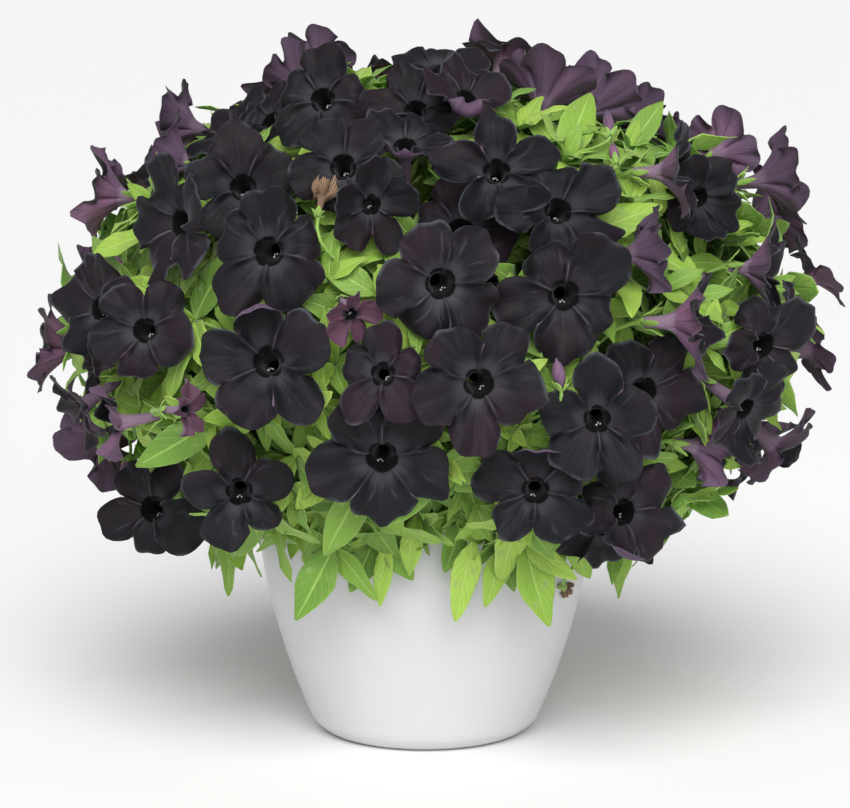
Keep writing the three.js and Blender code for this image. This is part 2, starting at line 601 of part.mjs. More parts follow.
// Tufts hang before the wall all round the pot, on branches that bend over its rim.
function growSkirt() {
  const lowStems = leafyStems.slice(0, TIERS[0].count);
  const hang = (hub, tips) => {
    const axis = vector(hub.x, hub.y, 0).normalize();
    const { side, top } = aroundAxis(axis);
    const leaves = tips.map(({ tip, half }) => {
      const direction = tip.clone().sub(hub);
      const length = direction.length();
      const leaf = leafOf(hub, direction.normalize(), axis, length, half, -0.05);
      return { ...leaf, turn: Math.atan2(direction.dot(top), direction.dot(side)) };
    });
    const nearer = (a, b) => (b.heading.dot(axis) > a.heading.dot(axis) ? b : a);
    const stem = lowStems.reduce(nearer);
    const { point, heading } = onStem(stem, SKIRT.from);
    const path = bent(point, heading, hub, vector(0, 0, -1), 0.5);
    stem.tufts.push({ path, hub, axis, leaves });
  };
  const onPlane = (px, py, from) => {
    const ray = sight(px, py);
    return along(eye, ray, (-from - eye.y) / ray.y);
  };
  for (const { px, py, from, leaves } of HANGING) {
    const hub = onPlane(px, py, from);
    const tips = leaves.map((leaf) => ({ tip: onPlane(leaf.tipX, leaf.tipY, from), half: leaf.wide / 2 }));
    for (let small = leaves.length; small < 3; small++) {
      tips.push({ tip: hub.clone().add(vector(small === 2 ? 7 : -9, -9, 13)), half: 4.5 });
    }
    hang(hub, tips);
  }
  for (let i = 0; i < SKIRT.tufts; i++) {
    const turn = radians(-20 + (220 * i) / (SKIRT.tufts - 1));
    const outward = vector(Math.cos(turn), Math.sin(turn), 0);
    const sideways = vector(-outward.y, outward.x, 0);
    const hub = outward.clone().multiplyScalar(SKIRT.hang).setZ(SKIRT.height);
    const tips = [];
    for (let k = 0; k < SKIRT.leaves; k++) {
      const length = SKIRT.shortest + (SKIRT.longest - SKIRT.shortest) * chance(i, 40 + k);
      const swing = radians(40 * (k - 1) + 16 * (chance(i, 44 + k) - 0.5));
      const tip = along(along(hub, sideways, length * Math.sin(swing)), UP, -length * Math.cos(swing));
      tips.push({ tip, half: (SKIRT.wide / 2) * (0.6 + 0.4 * chance(i, 48 + k)) });
    }
    hang(hub, tips);
  }
}

growSkirt();

// ---------------------------------------------------------------- solids of the plant
// Points of a closed ring round a centre, in the plane of two directions.
function ringOf(centre, first, second, radius, sides) {
  const made = [];
  for (let k = 0; k < sides; k++) {
    const turn = (2 * Math.PI * k) / sides;
    made.push(along(along(centre, first, radius * Math.cos(turn)), second, radius * Math.sin(turn)));
  }
  return made;
}

// A round stalk with few sides along a curve, from one radius to another, closed at both ends.
function stalkSolid(curve, from, to, sides, steps) {
  const points = [];
  const triangles = [];
  let first = vector(0.3, 0.5, 0.1);
  for (let i = 0; i <= steps; i++) {
    const heading = curve.getTangent(i / steps);
    first = along(first, heading, -first.dot(heading)).normalize();
    const radius = from + ((to - from) * i) / steps;
    points.push(...ringOf(curve.getPoint(i / steps), first, heading.clone().cross(first), radius, sides));
  }
  for (let i = 0; i < steps; i++) {
    for (let k = 0; k < sides; k++) {
      const a = i * sides + k;
      const b = i * sides + ((k + 1) % sides);
      triangles.push([a, b, b + sides], [a, b + sides, a + sides]);
    }
  }
  const last = steps * sides;
  for (let k = 1; k < sides - 1; k++) {
    triangles.push([0, k + 1, k], [last, last + k, last + k + 1]);
  }
  return solidOf(points, triangles);
}

// A petal's point in its flower: share s from the throat to the edge at clock angle turn. Each
// lobe runs out from the funnel and bends by its own angle in its outer part.
function petalPoint(bloom, lobe, turn, s) {
  const throat = 2 * BLOOM.throat * bloom.radius;
  const off = Math.abs(turn) / 36; // 0 in the middle of the lobe, 1 at the seam between two lobes
  const notch = bloom.notches[turn < 0 ? lobe : (lobe + 1) % 5];
  const cutIn = notch * off ** 2.3 + bloom.pointed * 0.2 * off ** 1.3;
  const full = (bloom.radius - throat) * (1.03 - cutIn + bloom.longer[lobe] * (1 - off ** 2));
  const flat = full * Math.min(s, 0.35);
  const rest = full * Math.max(0, s - 0.35);
  const soft = 1 - 0.65 * off ** 2;
  const bend = bloom.lobes[lobe] * soft * (rest / full / 0.65);
  const curl = Math.abs(bend) < 1e-6 ? 1e-6 : bend;
  const out = throat + flat + (rest * Math.sin(curl)) / curl;
  const ahead = -2 * BLOOM.funnel * bloom.radius * (1 - s) ** 2 + (rest * (1 - Math.cos(curl))) / curl;
  const angle = radians(bloom.roll + 72 * lobe + turn);
  return { out, ahead, angle };
}

function placed(bloom, { out, ahead, angle }, thicker) {
  return along(bloom.mouth, bloom.facing, ahead + thicker)
    .addScaledVector(bloom.upward, out * Math.cos(angle))
    .addScaledVector(bloom.leftward, out * Math.sin(angle));
}

// A flower and its stalk as one closed body: five lobes round a funnel on a narrow tube, which runs
// on as the stalk down the curves in paths, the nearest to the flower first. grow makes it fatter.
function bloomSolid(bloom, paths, grow) {
  const edge = 1 + (4 * grow) / bloom.radius;
  const half = BLOOM.blade / 2 + 1.5 * grow;
  const throat = 2 * BLOOM.throat * bloom.radius;
  const throatAhead = -2 * BLOOM.funnel * bloom.radius;
  const points = [];
  const add = (p) => points.push(p) - 1;
  const lobes = [0, 1, 2, 3, 4];
  const circle = (out, ahead) =>
    lobes.map((k) => add(placed(bloom, { out, ahead, angle: radians(bloom.roll + 72 * k - 36) }, 0)));
  const middles = (thicker) => lobes.map((k) => add(placed(bloom, petalPoint(bloom, k, 0, 0.55), thicker)));
  const heart = add(along(bloom.mouth, bloom.facing, throatAhead - 0.3 * bloom.radius + 2 * grow));
  const innerFront = circle(throat, throatAhead + half);
  const innerBack = circle(throat + BLOOM.wall + grow, throatAhead - half);
  const midFront = middles(half);
  const midBack = middles(-half);
  const seams = lobes.map((k) => add(placed(bloom, seam(bloom, k, edge), 0)));
  const lefts = lobes.map((k) => add(placed(bloom, petalPoint(bloom, k, -17, edge), 0)));
  const rights = lobes.map((k) => add(placed(bloom, petalPoint(bloom, k, 17, edge), 0)));
  const foot = circle(2 * BLOOM.tubeEnd * bloom.radius + grow, -2 * BLOOM.tube * bloom.radius);
  const triangles = [];
  for (const k of lobes) {
    const n = (k + 1) % 5;
    for (const [inner, middle, turned] of [[innerFront, midFront[k], false], [innerBack, midBack[k], true]]) {
      const outline = [inner[k], seams[k], lefts[k], rights[k], seams[n], inner[n]];
      outline.forEach((corner, i) => {
        const next = outline[(i + 1) % outline.length];
        triangles.push(turned ? [middle, next, corner] : [middle, corner, next]);
      });
    }
    triangles.push([heart, innerFront[k], innerFront[n]]);
    triangles.push([innerBack[n], innerBack[k], foot[k]], [innerBack[n], foot[k], foot[n]]);
  }
  let upper = foot;
  let first = bloom.upward;
  for (const path of paths) {
    for (let i = 1; i <= STALK.steps; i++) {
      const at = 1 - i / STALK.steps;
      const heading = path.getTangent(at);
      first = along(first, heading, -first.dot(heading)).normalize();
      const turned = first.clone().applyAxisAngle(heading, radians(bloom.roll - 36));
      const sunk = paths.length === 1 && at === 0 ? 0.5 : 1;
      const thick = sunk * (STALK.radius + grow);
      const ring = ringOf(path.getPoint(at), turned, heading.clone().cross(turned), thick, 5);
      const lower = ring.map(add);
      for (const k of lobes) {
        const n = (k + 1) % 5;
        triangles.push([upper[n], upper[k], lower[k]], [upper[n], lower[k], lower[n]]);
      }
      upper = lower;
    }
  }
  for (const k of [1, 2, 3]) {
    triangles.push([upper[0], upper[k + 1], upper[k]]);
  }
  return solidOf(points, triangles);
}

// The seam before lobe k, shared with the lobe before it, at share s.
function seam(bloom, k, s) {
  const here = petalPoint(bloom, k, -36, s);
  const before = petalPoint(bloom, (k + 4) % 5, 36, s);
  return { out: (here.out + before.out) / 2, ahead: (here.ahead + before.ahead) / 2, angle: here.angle };
}

// A tuft and its branch as one closed body: the leaves share the corners of a small hub, from which
// the branch runs back to its stem. Each blade is thick along the midrib and thin at the edge.
function tuftSolid(tuft, grow) {
  const half = LEAF.blade / 2 + 1.5 * grow;
  const points = [];
  const triangles = [];
  const add = (p) => points.push(p) - 1;
  const leaves = [...tuft.leaves].sort((a, b) => a.turn - b.turn);
  const turns = leaves.map((leaf, i) => {
    const before = leaves[(i + leaves.length - 1) % leaves.length];
    return leaf.turn - ((leaf.turn - before.turn + 4 * Math.PI) % (2 * Math.PI)) / 2;
  });
  const { side, top } = aroundAxis(tuft.axis);
  const spoke = (centre, first, second, turn, radius) =>
    add(along(along(centre, first, radius * Math.cos(turn)), second, radius * Math.sin(turn)));
  const upper = add(along(tuft.hub, tuft.axis, half));
  const corners = turns.map((turn) => spoke(tuft.hub, side, top, turn, SPRIG.hub + grow));
  const rings = [];
  let first = side;
  for (let i = 0; i <= SPRIG.steps; i++) {
    const at = 1 - i / SPRIG.steps;
    const heading = i ? tuft.path.getTangent(at) : tuft.axis;
    first = along(first, heading, -first.dot(heading)).normalize();
    const second = heading.clone().cross(first);
    const centre = i ? tuft.path.getPoint(at) : along(tuft.hub, tuft.axis, -SPRIG.hub);
    const thick = (i === SPRIG.steps ? 0.5 : 1) * (SPRIG.radius + grow);
    rings.push(turns.map((turn) => spoke(centre, first, second, turn, thick)));
  }
  leaves.forEach((leaf, i) => {
    const n = (i + 1) % leaves.length;
    const rim = (s, w) => add(along(leafPoint(leaf, s, w), leaf.across, 3 * grow * w));
    const outline = [
      corners[i],
      rim(0.3, 1),
      rim(0.68, 1),
      add(along(leafPoint(leaf, 1, 0), leaf.direction, 4 * grow)),
      rim(0.68, -1),
      rim(0.3, -1),
      corners[n],
    ];
    const over = add(along(leafPoint(leaf, 0.4, 0), leaf.face, half));
    const under = add(along(leafPoint(leaf, 0.4, 0), leaf.face, -half));
    [...outline, upper].forEach((corner, k, all) => triangles.push([over, corner, all[(k + 1) % all.length]]));
    [...outline, rings[0][n], rings[0][i]].forEach((corner, k, all) =>
      triangles.push([under, all[(k + 1) % all.length], corner]),
    );
    for (let k = 0; k < SPRIG.steps; k++) {
      const [a, b, c, d] = [rings[k][i], rings[k][n], rings[k + 1][n], rings[k + 1][i]];
      triangles.push([a, d, c], [a, c, b]);
    }
  });
  const root = rings[SPRIG.steps];
  for (let k = 1; k < root.length - 1; k++) {
    triangles.push([root[0], root[k + 1], root[k]]);
  }
  return solidOf(points, triangles);
}

// The flowers of a spray with their stalks; the first one's stalk runs on down the shared one.
function sprayFlowers(spray, grow) {
  return spray.group.map((bloom, i) => {
    const own = spray.stalks[i];
    return bloomSolid(bloom, i ? [own] : [own, spray.trunk], grow);
  });
}

function mainStem(stem, grow) {
  return stalkSolid(stem.path, STEM.rootRadius + grow, STEM.tipRadius + grow, STEM.sides, STEM.steps);
}

function leafySolid(stem, grow) {
  return joined([mainStem(stem, grow), ...stem.tufts.map((tuft) => tuftSolid(tuft, grow))]);
}

// ---------------------------------------------------------------- pot and soil
function lathe(profile) {
  const outline = profile.map(([r, z]) => new THREE.Vector2(r, z));
  const geometry = new THREE.LatheGeometry(outline, POT.sides);
  geometry.rotateX(Math.PI / 2);
  return solidFrom(geometry);
}

// The pot's outer radius at a height: steep from a rounded foot, then ever straighter to the rim.
function potRadius(z) {
  const share = z / POT.height;
  const swell = 27 * (1 - (1 - share) ** 1.9);
  const slope = 5.5 * share;
  const corner = 7.5 * Math.sqrt(Math.min(1, z / POT.cornerRadius));
  return POT.footRadius + swell + slope + corner;
}

// The inside of the wall is straight from one bend's height to the next, and up to the rim.
function innerRadius(z) {
  const heights = [...POT.bends, 1].map((share) => share * POT.height);
  const above = Math.max(1, heights.findIndex((height) => height >= z));
  const [low, high] = [heights[above - 1], heights[above]];
  const share = (z - low) / (high - low);
  return potRadius(low) * (1 - share) + potRadius(high) * share - POT.wall;
}

function potSolid() {
  const outer = [];
  for (const share of [0, 0.015, 0.06, 0.25, 0.55]) {
    outer.push([potRadius(share * POT.height), share * POT.height]);
  }
  const rim = potRadius(POT.height);
  const lipFoot = POT.height - LIP.height;
  outer.push([potRadius(lipFoot), lipFoot], [rim, lipFoot + 1.5], [rim, POT.height]);
  outer.push([rim - POT.wall, POT.height]);
  const inner = POT.bends.map((share) => [innerRadius(share * POT.height), share * POT.height]).reverse();
  inner.push([innerRadius(POT.floor), POT.floor]);
  const profile = [[0, 0], ...outer, ...inner, [0, POT.floor]];
  const holes = [];
  for (let i = 0; i < DRAIN.count; i++) {
    const turn = (2 * Math.PI * i) / DRAIN.count;
    const drill = new THREE.CylinderGeometry(DRAIN.radius, DRAIN.radius, 3 * POT.floor, DRAIN.sides);
    drill.rotateX(Math.PI / 2);
    drill.translate(DRAIN.fromAxis * Math.cos(turn), DRAIN.fromAxis * Math.sin(turn), POT.floor / 2);
    holes.push(solidFrom(drill));
  }
  return cut(lathe(profile), holes);
}

function soilSolid() {
  const floor = POT.floor + GAP;
  const heights = [floor, ...POT.bends.map((share) => share * POT.height), SOIL.edgeHeight];
  const side = heights.map((z) => [innerRadius(z) - 2 * GAP, z]);
  const edge = innerRadius(SOIL.edgeHeight);
  const profile = [[0, floor], ...side, [0.55 * edge, SOIL.crownHeight - 1], [0, SOIL.crownHeight]];
  const holes = leafyStems.map(({ root }) => {
    const radius = (STEM.rootRadius + SOIL.holeClearance) / Math.cos(Math.PI / 6);
    const drill = new THREE.CylinderGeometry(radius, radius, 2 * SOIL.holeDepth, 6);
    drill.rotateX(Math.PI / 2);
    drill.translate(root.x, root.y, SOIL.edgeHeight);
    return solidFrom(drill);
  });
  return cut(lathe(profile), holes);
}

// ---------------------------------------------------------------- the pieces, clear of each other
const plant = new THREE.Group();
plant.add(meshOf("pot", potSolid(), COLOURS.pot));
plant.add(meshOf("soil", soilSolid(), COLOURS.soil));

const fatStems = leafyStems.map((stem) => mainStem(stem, GAP));
const flowers = sprays.map((spray) => sprayFlowers(spray, 0));
const fatFlowers = sprays.map((spray) => sprayFlowers(spray, GAP));

// The solid's main body once it has given way to fat copies of its neighbours, and then to any
// neighbour that it still touches.
function givingWay(solid, fatNeighbours, neighbours) {
  const body = mainBody(cut(solid, fatNeighbours));
  const touching = neighbours.filter((other) => boxesMeet(body, other) && body.intersect(other).volume() > 1e-3);
  return touching.length ? mainBody(cut(body, touching)) : body;
}

// Flowers give way to the stems, and to the sprays before them in the list.
const sprayBodies = [];
for (const [i, group] of flowers.entries()) {
  sprayBodies.push(givingWay(joined(group), [...fatStems, ...fatFlowers.slice(0, i).flat()], sprayBodies));
}

// Leaves give way to the sprays, and to the leafy stems before them.
const fatLeafy = leafyStems.map((stem) => leafySolid(stem, GAP));
const leafyBodies = [];
for (const [i, stem] of leafyStems.entries()) {
  const before = [...fatFlowers.flat(), ...fatLeafy.slice(0, i), ...fatStems.slice(i + 1)];
  leafyBodies.push(givingWay(leafySolid(stem, 0), before, [...sprayBodies, ...leafyBodies]));
}

const number = (i) => String(i + 1).padStart(2, "0");
leafyBodies.forEach((body, i) => plant.add(meshOf(`leafy_stem_${number(i)}`, body, COLOURS.leafy)));
sprayBodies.forEach((body, i) => plant.add(meshOf(`flower_spray_${number(i)}`, body, COLOURS.petals)));

export default plant;
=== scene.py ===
# %% [markdown]
# # A potted petunia
# The object is a petunia with near-black trumpet flowers and lime-green leaves in a plain white
# pot. A packed model of the same plant, made of coarse solids, gives the size and the places. This
# file dresses it: every flower, leaf, stem, the soil and the pot are worked out again as fine
# surfaces, in the same places, and painted with materials made of nodes.
#
# The coarse model comes in first, because everything below is fitted to it.

# %% The frame
import math

import bpy
import numpy as np
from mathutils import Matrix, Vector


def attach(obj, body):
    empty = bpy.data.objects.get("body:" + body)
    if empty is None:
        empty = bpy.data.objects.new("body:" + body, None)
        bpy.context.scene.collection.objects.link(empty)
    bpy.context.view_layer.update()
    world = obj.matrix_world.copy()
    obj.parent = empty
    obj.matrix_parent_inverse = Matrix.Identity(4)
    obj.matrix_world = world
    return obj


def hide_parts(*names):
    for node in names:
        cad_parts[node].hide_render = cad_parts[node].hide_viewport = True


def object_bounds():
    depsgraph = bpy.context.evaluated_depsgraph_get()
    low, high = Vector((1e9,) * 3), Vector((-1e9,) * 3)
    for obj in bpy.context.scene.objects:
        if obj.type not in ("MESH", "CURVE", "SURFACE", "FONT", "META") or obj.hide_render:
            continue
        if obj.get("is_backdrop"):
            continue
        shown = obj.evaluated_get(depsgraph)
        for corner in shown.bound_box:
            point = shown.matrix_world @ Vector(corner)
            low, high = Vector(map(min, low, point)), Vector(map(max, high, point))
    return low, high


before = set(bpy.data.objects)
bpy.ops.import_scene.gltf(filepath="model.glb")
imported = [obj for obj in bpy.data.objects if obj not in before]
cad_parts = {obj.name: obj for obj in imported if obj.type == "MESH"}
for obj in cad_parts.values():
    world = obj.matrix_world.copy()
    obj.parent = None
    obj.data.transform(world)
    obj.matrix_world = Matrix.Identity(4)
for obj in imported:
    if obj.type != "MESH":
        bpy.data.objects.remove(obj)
cad_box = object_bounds()
print("nodes:", len(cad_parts), "box:", np.round(cad_box, 3).tolist())

# %% [markdown]
# The layout is worked out in millimetres, as for the solids, and turned into metres only where a
# mesh is made. A plant looks natural when nothing repeats, yet each run has to give the same plant.
# So the small differences come from one rule that turns a pair of whole numbers into a chance.

# %% Units and chances
MM = 0.001
UP = np.array([0.0, 0.0, 1.0])


def chance(item, use):
    """A repeatable number in 0..1 for the pair: two steps of a linear congruential rule."""
    state = (item * 7919 + use * 104729 + 12345) % 2**32
    for _ in range(2):
        state = (state * 1664525 + 1013904223) % 2**32
    return state / 2**32


def chances(item, use, count=5):
    """Several chances from one item, such as one for each of a flower's five lobes."""
    return np.array([chance(item, use + k) for k in range(count)])


def unit(v):
    """The vectors made one long."""
    return v / np.maximum(np.linalg.norm(v, axis=-1, keepdims=True), 1e-12)


def bearing(angle):
    """The level direction at an angle, counted from the right."""
    return np.array([math.cos(angle), math.sin(angle), 0])


def turned(first, second, angle):
    """The first direction turned by an angle towards the second, which stands across it."""
    return first * math.cos(angle) + second * math.sin(angle)


def dot(a, b):
    """The dot product along the last axis, kept as an axis."""
    return np.sum(a * b, axis=-1, keepdims=True)


print("three chances:", [round(chance(n, 1), 3) for n in range(3)])

# %% [markdown]
# The flowers of the front are placed by what the eye sees: a picture 850 wide and 808 high, taken
# from 1.7 m away and a little above. The camera stands exactly there, so a flower given by its
# place in that picture lands on that place again. A long lens from far away keeps the pot's sides
# as parallel as they look on the real one.

# %% The view and the camera
RISE, DISTANCE, AIM = math.radians(8.7), 1700.0, 175.0
PICTURE = (850, 808)
MIDDLE = (425, 404)
MM_PER_PIXEL = 0.53
FOCAL_PIXELS = DISTANCE / MM_PER_PIXEL
SENSOR = 36.0

FORWARD = np.array([0, math.cos(RISE), -math.sin(RISE)])
EYE_UP = np.array([0, math.sin(RISE), math.cos(RISE)])
RIGHT = np.array([1.0, 0, 0])
EYE = np.array([0, 0, AIM]) - DISTANCE * FORWARD

camera = bpy.data.objects.new("camera", bpy.data.cameras.new("camera"))
camera.data.sensor_width = SENSOR
camera.data.lens = FOCAL_PIXELS * SENSOR / PICTURE[0]
camera.location = EYE * MM
camera.rotation_euler = (math.pi / 2 - RISE, 0, 0)
bpy.context.scene.collection.objects.link(camera)
bpy.context.scene.camera = camera
print("lens:", round(camera.data.lens, 1), "mm")

# %% [markdown]
# Seen from a distance the plant is a dome: the mouths of its flowers lie on an ellipsoid that is
# flatter below than above. A line of sight through a point of the picture meets it once.

# %% The dome
DOME = dict(centre=np.array([5.0, 0, 207]), across=205.0, deep=186.0, up=158.0, down=125.0)
CROWN = np.array([0.0, 0, 132])
GOLDEN = math.pi * (3 - math.sqrt(5))


def sight(px, py):
    """The direction from the eye through a point of the picture."""
    across = (px - MIDDLE[0]) / FOCAL_PIXELS
    down = (py - MIDDLE[1]) / FOCAL_PIXELS
    return unit(FORWARD + RIGHT * across - EYE_UP * down)


def dome_axes(height):
    """The dome's three half axes at points of that height above its middle, or below it."""
    rise = np.where(height > 0, DOME["up"], DOME["down"])
    across, deep = np.full_like(rise, DOME["across"]), np.full_like(rise, DOME["deep"])
    return np.stack([across, deep, rise], axis=-1)


def dome_measure(points):
    """How far out the points are: 1 on the dome's skin, less inside."""
    off = points - DOME["centre"]
    return np.linalg.norm(off / dome_axes(off[..., 2]), axis=-1)


def on_dome(px, py):
    """The first point of the line of sight on the dome, or else the nearest to it, and the line."""
    ray = sight(px, py)
    points = EYE + np.arange(DISTANCE - 400, DISTANCE + 20, 1.0)[:, None] * ray
    level = dome_measure(points)
    first = np.argmax(level <= 1) if np.any(level <= 1) else np.argmin(level)
    return points[first], ray


def dome_point(direction, share):
    """The dome's point in a direction, shrunk by share about its middle, and the normal there."""
    axes = dome_axes(direction[2])
    return DOME["centre"] + direction * axes * share, unit(direction / axes)


def even_direction(i, n, low, high):
    """Direction i of n, spread evenly over the heights low to high by the golden angle."""
    height = high - (i + 0.5) / n * (high - low)
    circle = math.sqrt(1 - height * height)
    return np.array([circle * math.cos(GOLDEN * i), circle * math.sin(GOLDEN * i), height])


print("middle of the picture meets the dome at", np.round(on_dome(425, 300)[0]), "mm")

# %% [markdown]
# Each flower of the front is given by the place of its mouth in the picture, which way it looks
# (yaw to the right, pitch up), how wide it is in millimetres and how far it is rolled about its own
# axis. Some lobes are folded, some flowers are pointed, and those seen from the side or from
# behind have their lobes bent back. A flower could be scattered by a rule, but the eye knows a
# plant by its foremost flowers, so these are set one by one.

# %% The flowers of the front
def bloom(px, py, yaw, pitch, wide, roll, reflex=-10, at=0, fold=0, pointed=0, back=0):
    """A flower as the picture shows it. Lobes at one angle may be folded; back moves it on."""
    return dict(place=(px, py), looks=(yaw, pitch), radius=wide / 2, roll=roll, reflex=reflex,
                at=at, fold=fold, pointed=pointed, back=back)


FRONT = [
    bloom(442, 284, 6, -6, 66, 20),
    bloom(267, 252, -6, -5, 64, 0),
    bloom(565, 296, 3, -5, 64, 30),
    bloom(266, 360, -4, 5, 66, 12, at=20, fold=95),
    bloom(480, 384, 6, -6, 64, 36),
    bloom(381, 465, -2, -16, 67, 36, reflex=-6),
    bloom(241, 183, -3, 10, 59, 8),
    bloom(343, 165, 0, 8, 56, 30),
    bloom(322, 97, -5, 12, 55, 0),
    bloom(563, 207, 12, 10, 57, 14),
    bloom(598, 422, 0, -10, 58, 0),
    bloom(650, 393, 20, -8, 62, 36),
    bloom(536, 492, 0, -5, 58, 0, at=0, fold=60),
    bloom(239, 494, 2, -8, 60, 10, pointed=0.6),
    bloom(148, 508, -24, 4, 60, 36, pointed=0.3),
    bloom(383, 374, 0, 0, 52, 0, pointed=0.7),
    bloom(497, 170, 0, 5, 57, 5, pointed=1, reflex=10),
    bloom(168, 222, -50, 0, 61, 20),
    bloom(143, 330, -10, 0, 54, 36, at=180, fold=40),
    bloom(92, 308, -45, 5, 56, 10),
    bloom(772, 348, 32, -12, 57, 20),
    bloom(750, 412, 50, -30, 55, 36, at=180, fold=50),
    bloom(630, 512, 35, 0, 60, 10, at=150, fold=85),
    bloom(605, 535, 10, -45, 52, 30, back=12),
    bloom(706, 200, 30, -16, 48, 36, back=20, at=180, fold=60),
    bloom(470, 95, 30, 30, 51, -4, at=140, fold=110),
    bloom(405, 140, 0, 45, 50, 36, at=180, fold=70),
    bloom(437, 62, 0, 50, 55, 0),
    bloom(372, 206, 18, -18, 44, 0, back=13, reflex=34),
    bloom(462, 226, 5, 25, 60, 0, back=20),
    bloom(415, 106, -5, 25, 48, 20, back=20),
    bloom(224, 126, -55, 40, 50, 0, back=14),
    bloom(266, 116, -45, 35, 48, 20, back=22),
    bloom(88, 192, -97, 8, 51, 0, reflex=-42),
    bloom(172, 124, -105, 12, 46, 20, reflex=-26),
    bloom(155, 155, -98, 15, 44, 0, reflex=-30),
    bloom(322, 52, 160, 50, 46, 10, back=40, reflex=-30),
    bloom(282, 75, -120, 35, 42, 0, back=40, reflex=-20),
    bloom(550, 78, 150, 60, 55, 10, back=20, reflex=-22),
    bloom(605, 95, 130, 35, 52, 0, back=46, reflex=-15),
    bloom(650, 118, 120, 30, 46, 30, back=50, reflex=-15),
    bloom(690, 172, 77, 0, 50, 0, reflex=-30),
    bloom(722, 150, 150, 20, 46, 20, back=50, reflex=-10),
    bloom(788, 176, 98, 10, 51, 0, reflex=-34),
    bloom(658, 252, 100, 5, 46, 0, reflex=-48, pointed=0.3),
    bloom(784, 272, 75, -5, 50, 0, reflex=-20),
    bloom(790, 322, 80, 0, 46, 36, back=30),
    bloom(705, 322, 80, 0, 53, 12, reflex=-26, pointed=0.7),
    bloom(715, 450, 110, -10, 42, 0, back=30, reflex=-20),
    bloom(76, 366, -75, -5, 42, 0, back=12, pointed=0.5),
    bloom(80, 408, -70, -35, 44, 20, pointed=0.2),
    bloom(112, 424, -80, -10, 42, 0, back=-12, reflex=24, pointed=0.4),
    bloom(190, 410, 60, 0, 28, 0, back=-14, reflex=10, pointed=0.8),
    bloom(352, 316, 20, -30, 30, 0, back=4, reflex=30, pointed=0.8),
]
BACK_LIMIT = -0.33
TUBE, THROAT, FUNNEL, FOOT = 1.12, 0.17, 0.24, 0.1  # shares of a flower's radius


def facing_of(yaw, pitch):
    """The direction in which a flower looks, for a yaw to the right and a pitch up in degrees."""
    yaw, pitch = math.radians(yaw), math.radians(pitch)
    level = RIGHT * math.sin(yaw) - FORWARD * math.cos(yaw)
    return level * math.cos(pitch) + EYE_UP * math.sin(pitch)


def front_flowers():
    """The listed flowers, each with its mouth on the dome and the line along which it may slide."""
    for seen in FRONT:
        point, ray = on_dome(*seen["place"])
        seen.update(mouth=point + ray * seen["back"], slide=ray, facing=facing_of(*seen["looks"]))
    return list(FRONT)


flowers = front_flowers()
print("flowers of the front:", len(flowers))

# %% [markdown]
# The sides, the back and the top get their flowers by rule: evenly spread directions, each taken
# only where the view doesn't already show a flower and no other flower is too near.

# %% The other flowers
HIDDEN = dict(tries=118, lowest=-0.62, apart=51, closer=7, smallest=50, largest=62)


def hidden_flowers(taken):
    """Flowers on evenly spread directions, tilted by chance, where there is still room."""
    made = []
    for i in range(HIDDEN["tries"]):
        direction = even_direction(i, HIDDEN["tries"], HIDDEN["lowest"], 0.99)
        point, normal = dome_point(direction, 1 + 0.06 * (chance(i, 1) - 0.5))
        apart = HIDDEN["apart"] - HIDDEN["closer"] * max(0, direction[2])
        mouths = np.array([f["mouth"] for f in taken + made])
        crowded = np.any(np.linalg.norm(mouths - point, axis=1) < apart)
        if normal @ FORWARD < BACK_LIMIT or crowded:
            continue
        tilt = 0.7 * (chances(i, 2, 3) - (0.5, 0.5, 0.45))
        wide = HIDDEN["smallest"] + (HIDDEN["largest"] - HIDDEN["smallest"]) * chance(i, 5)
        made.append(dict(
            mouth=point, slide=-normal, facing=unit(normal + tilt), radius=wide / 2,
            roll=72 * chance(i, 6), reflex=-26 * chance(i, 7) * chance(i, 8) - 4,
            at=360 * chance(i, 9), fold=80 if chance(i, 20) < 0.2 else 0,
            pointed=0.6 if chance(i, 21) < 0.3 else 0,
        ))
    return made


flowers += hidden_flowers(flowers)
print("flowers in all:", len(flowers))

# %% [markdown]
# Real petals press against each other and give way. To do the same, the script has to know which
# flowers cut each other. Petals are too wavy for a quick answer, so a flower counts as a flat disc
# with a straight tube behind it, and plain geometry answers for many flowers at once.

# %% Whether flowers cut each other
LAYER = dict(apart=7, tube=4, parallel=0.12, slides=(0, 7, -7, 14, -14, 21, 28, 35, 42))


def discs_cross(mouth, facing, radius, mouths, facings, radii):
    """Whether the disc cuts each of the discs: both reach the line where their planes meet, and
    there the stretches that they cover overlap. Discs that are nearly parallel are only stacked."""
    between = mouths - mouth
    near = np.linalg.norm(between, axis=1) <= radius + radii
    line = np.cross(facing, facings)
    slant = np.linalg.norm(line, axis=1)
    stacked = np.abs(between @ facing) < LAYER["apart"]
    line = line / np.maximum(slant, 1e-9)[:, None]
    inward = np.cross(line, facing)
    parallel = slant < LAYER["parallel"]
    reach = np.sum(between * facings, axis=1)
    reach = reach / np.where(parallel, 1, np.sum(inward * facings, axis=1))
    from_other = mouth + inward * reach[:, None] - mouths
    shift = np.sum(from_other * line, axis=1)
    off = np.linalg.norm(from_other - line * shift[:, None], axis=1)
    covered = np.sqrt(np.maximum(0, radius**2 - reach**2))
    covered = covered + np.sqrt(np.maximum(0, radii**2 - off**2))
    cut = (np.abs(reach) <= radius) & (off <= radii) & (np.abs(shift) < covered)
    return near & np.where(parallel, stacked, cut)


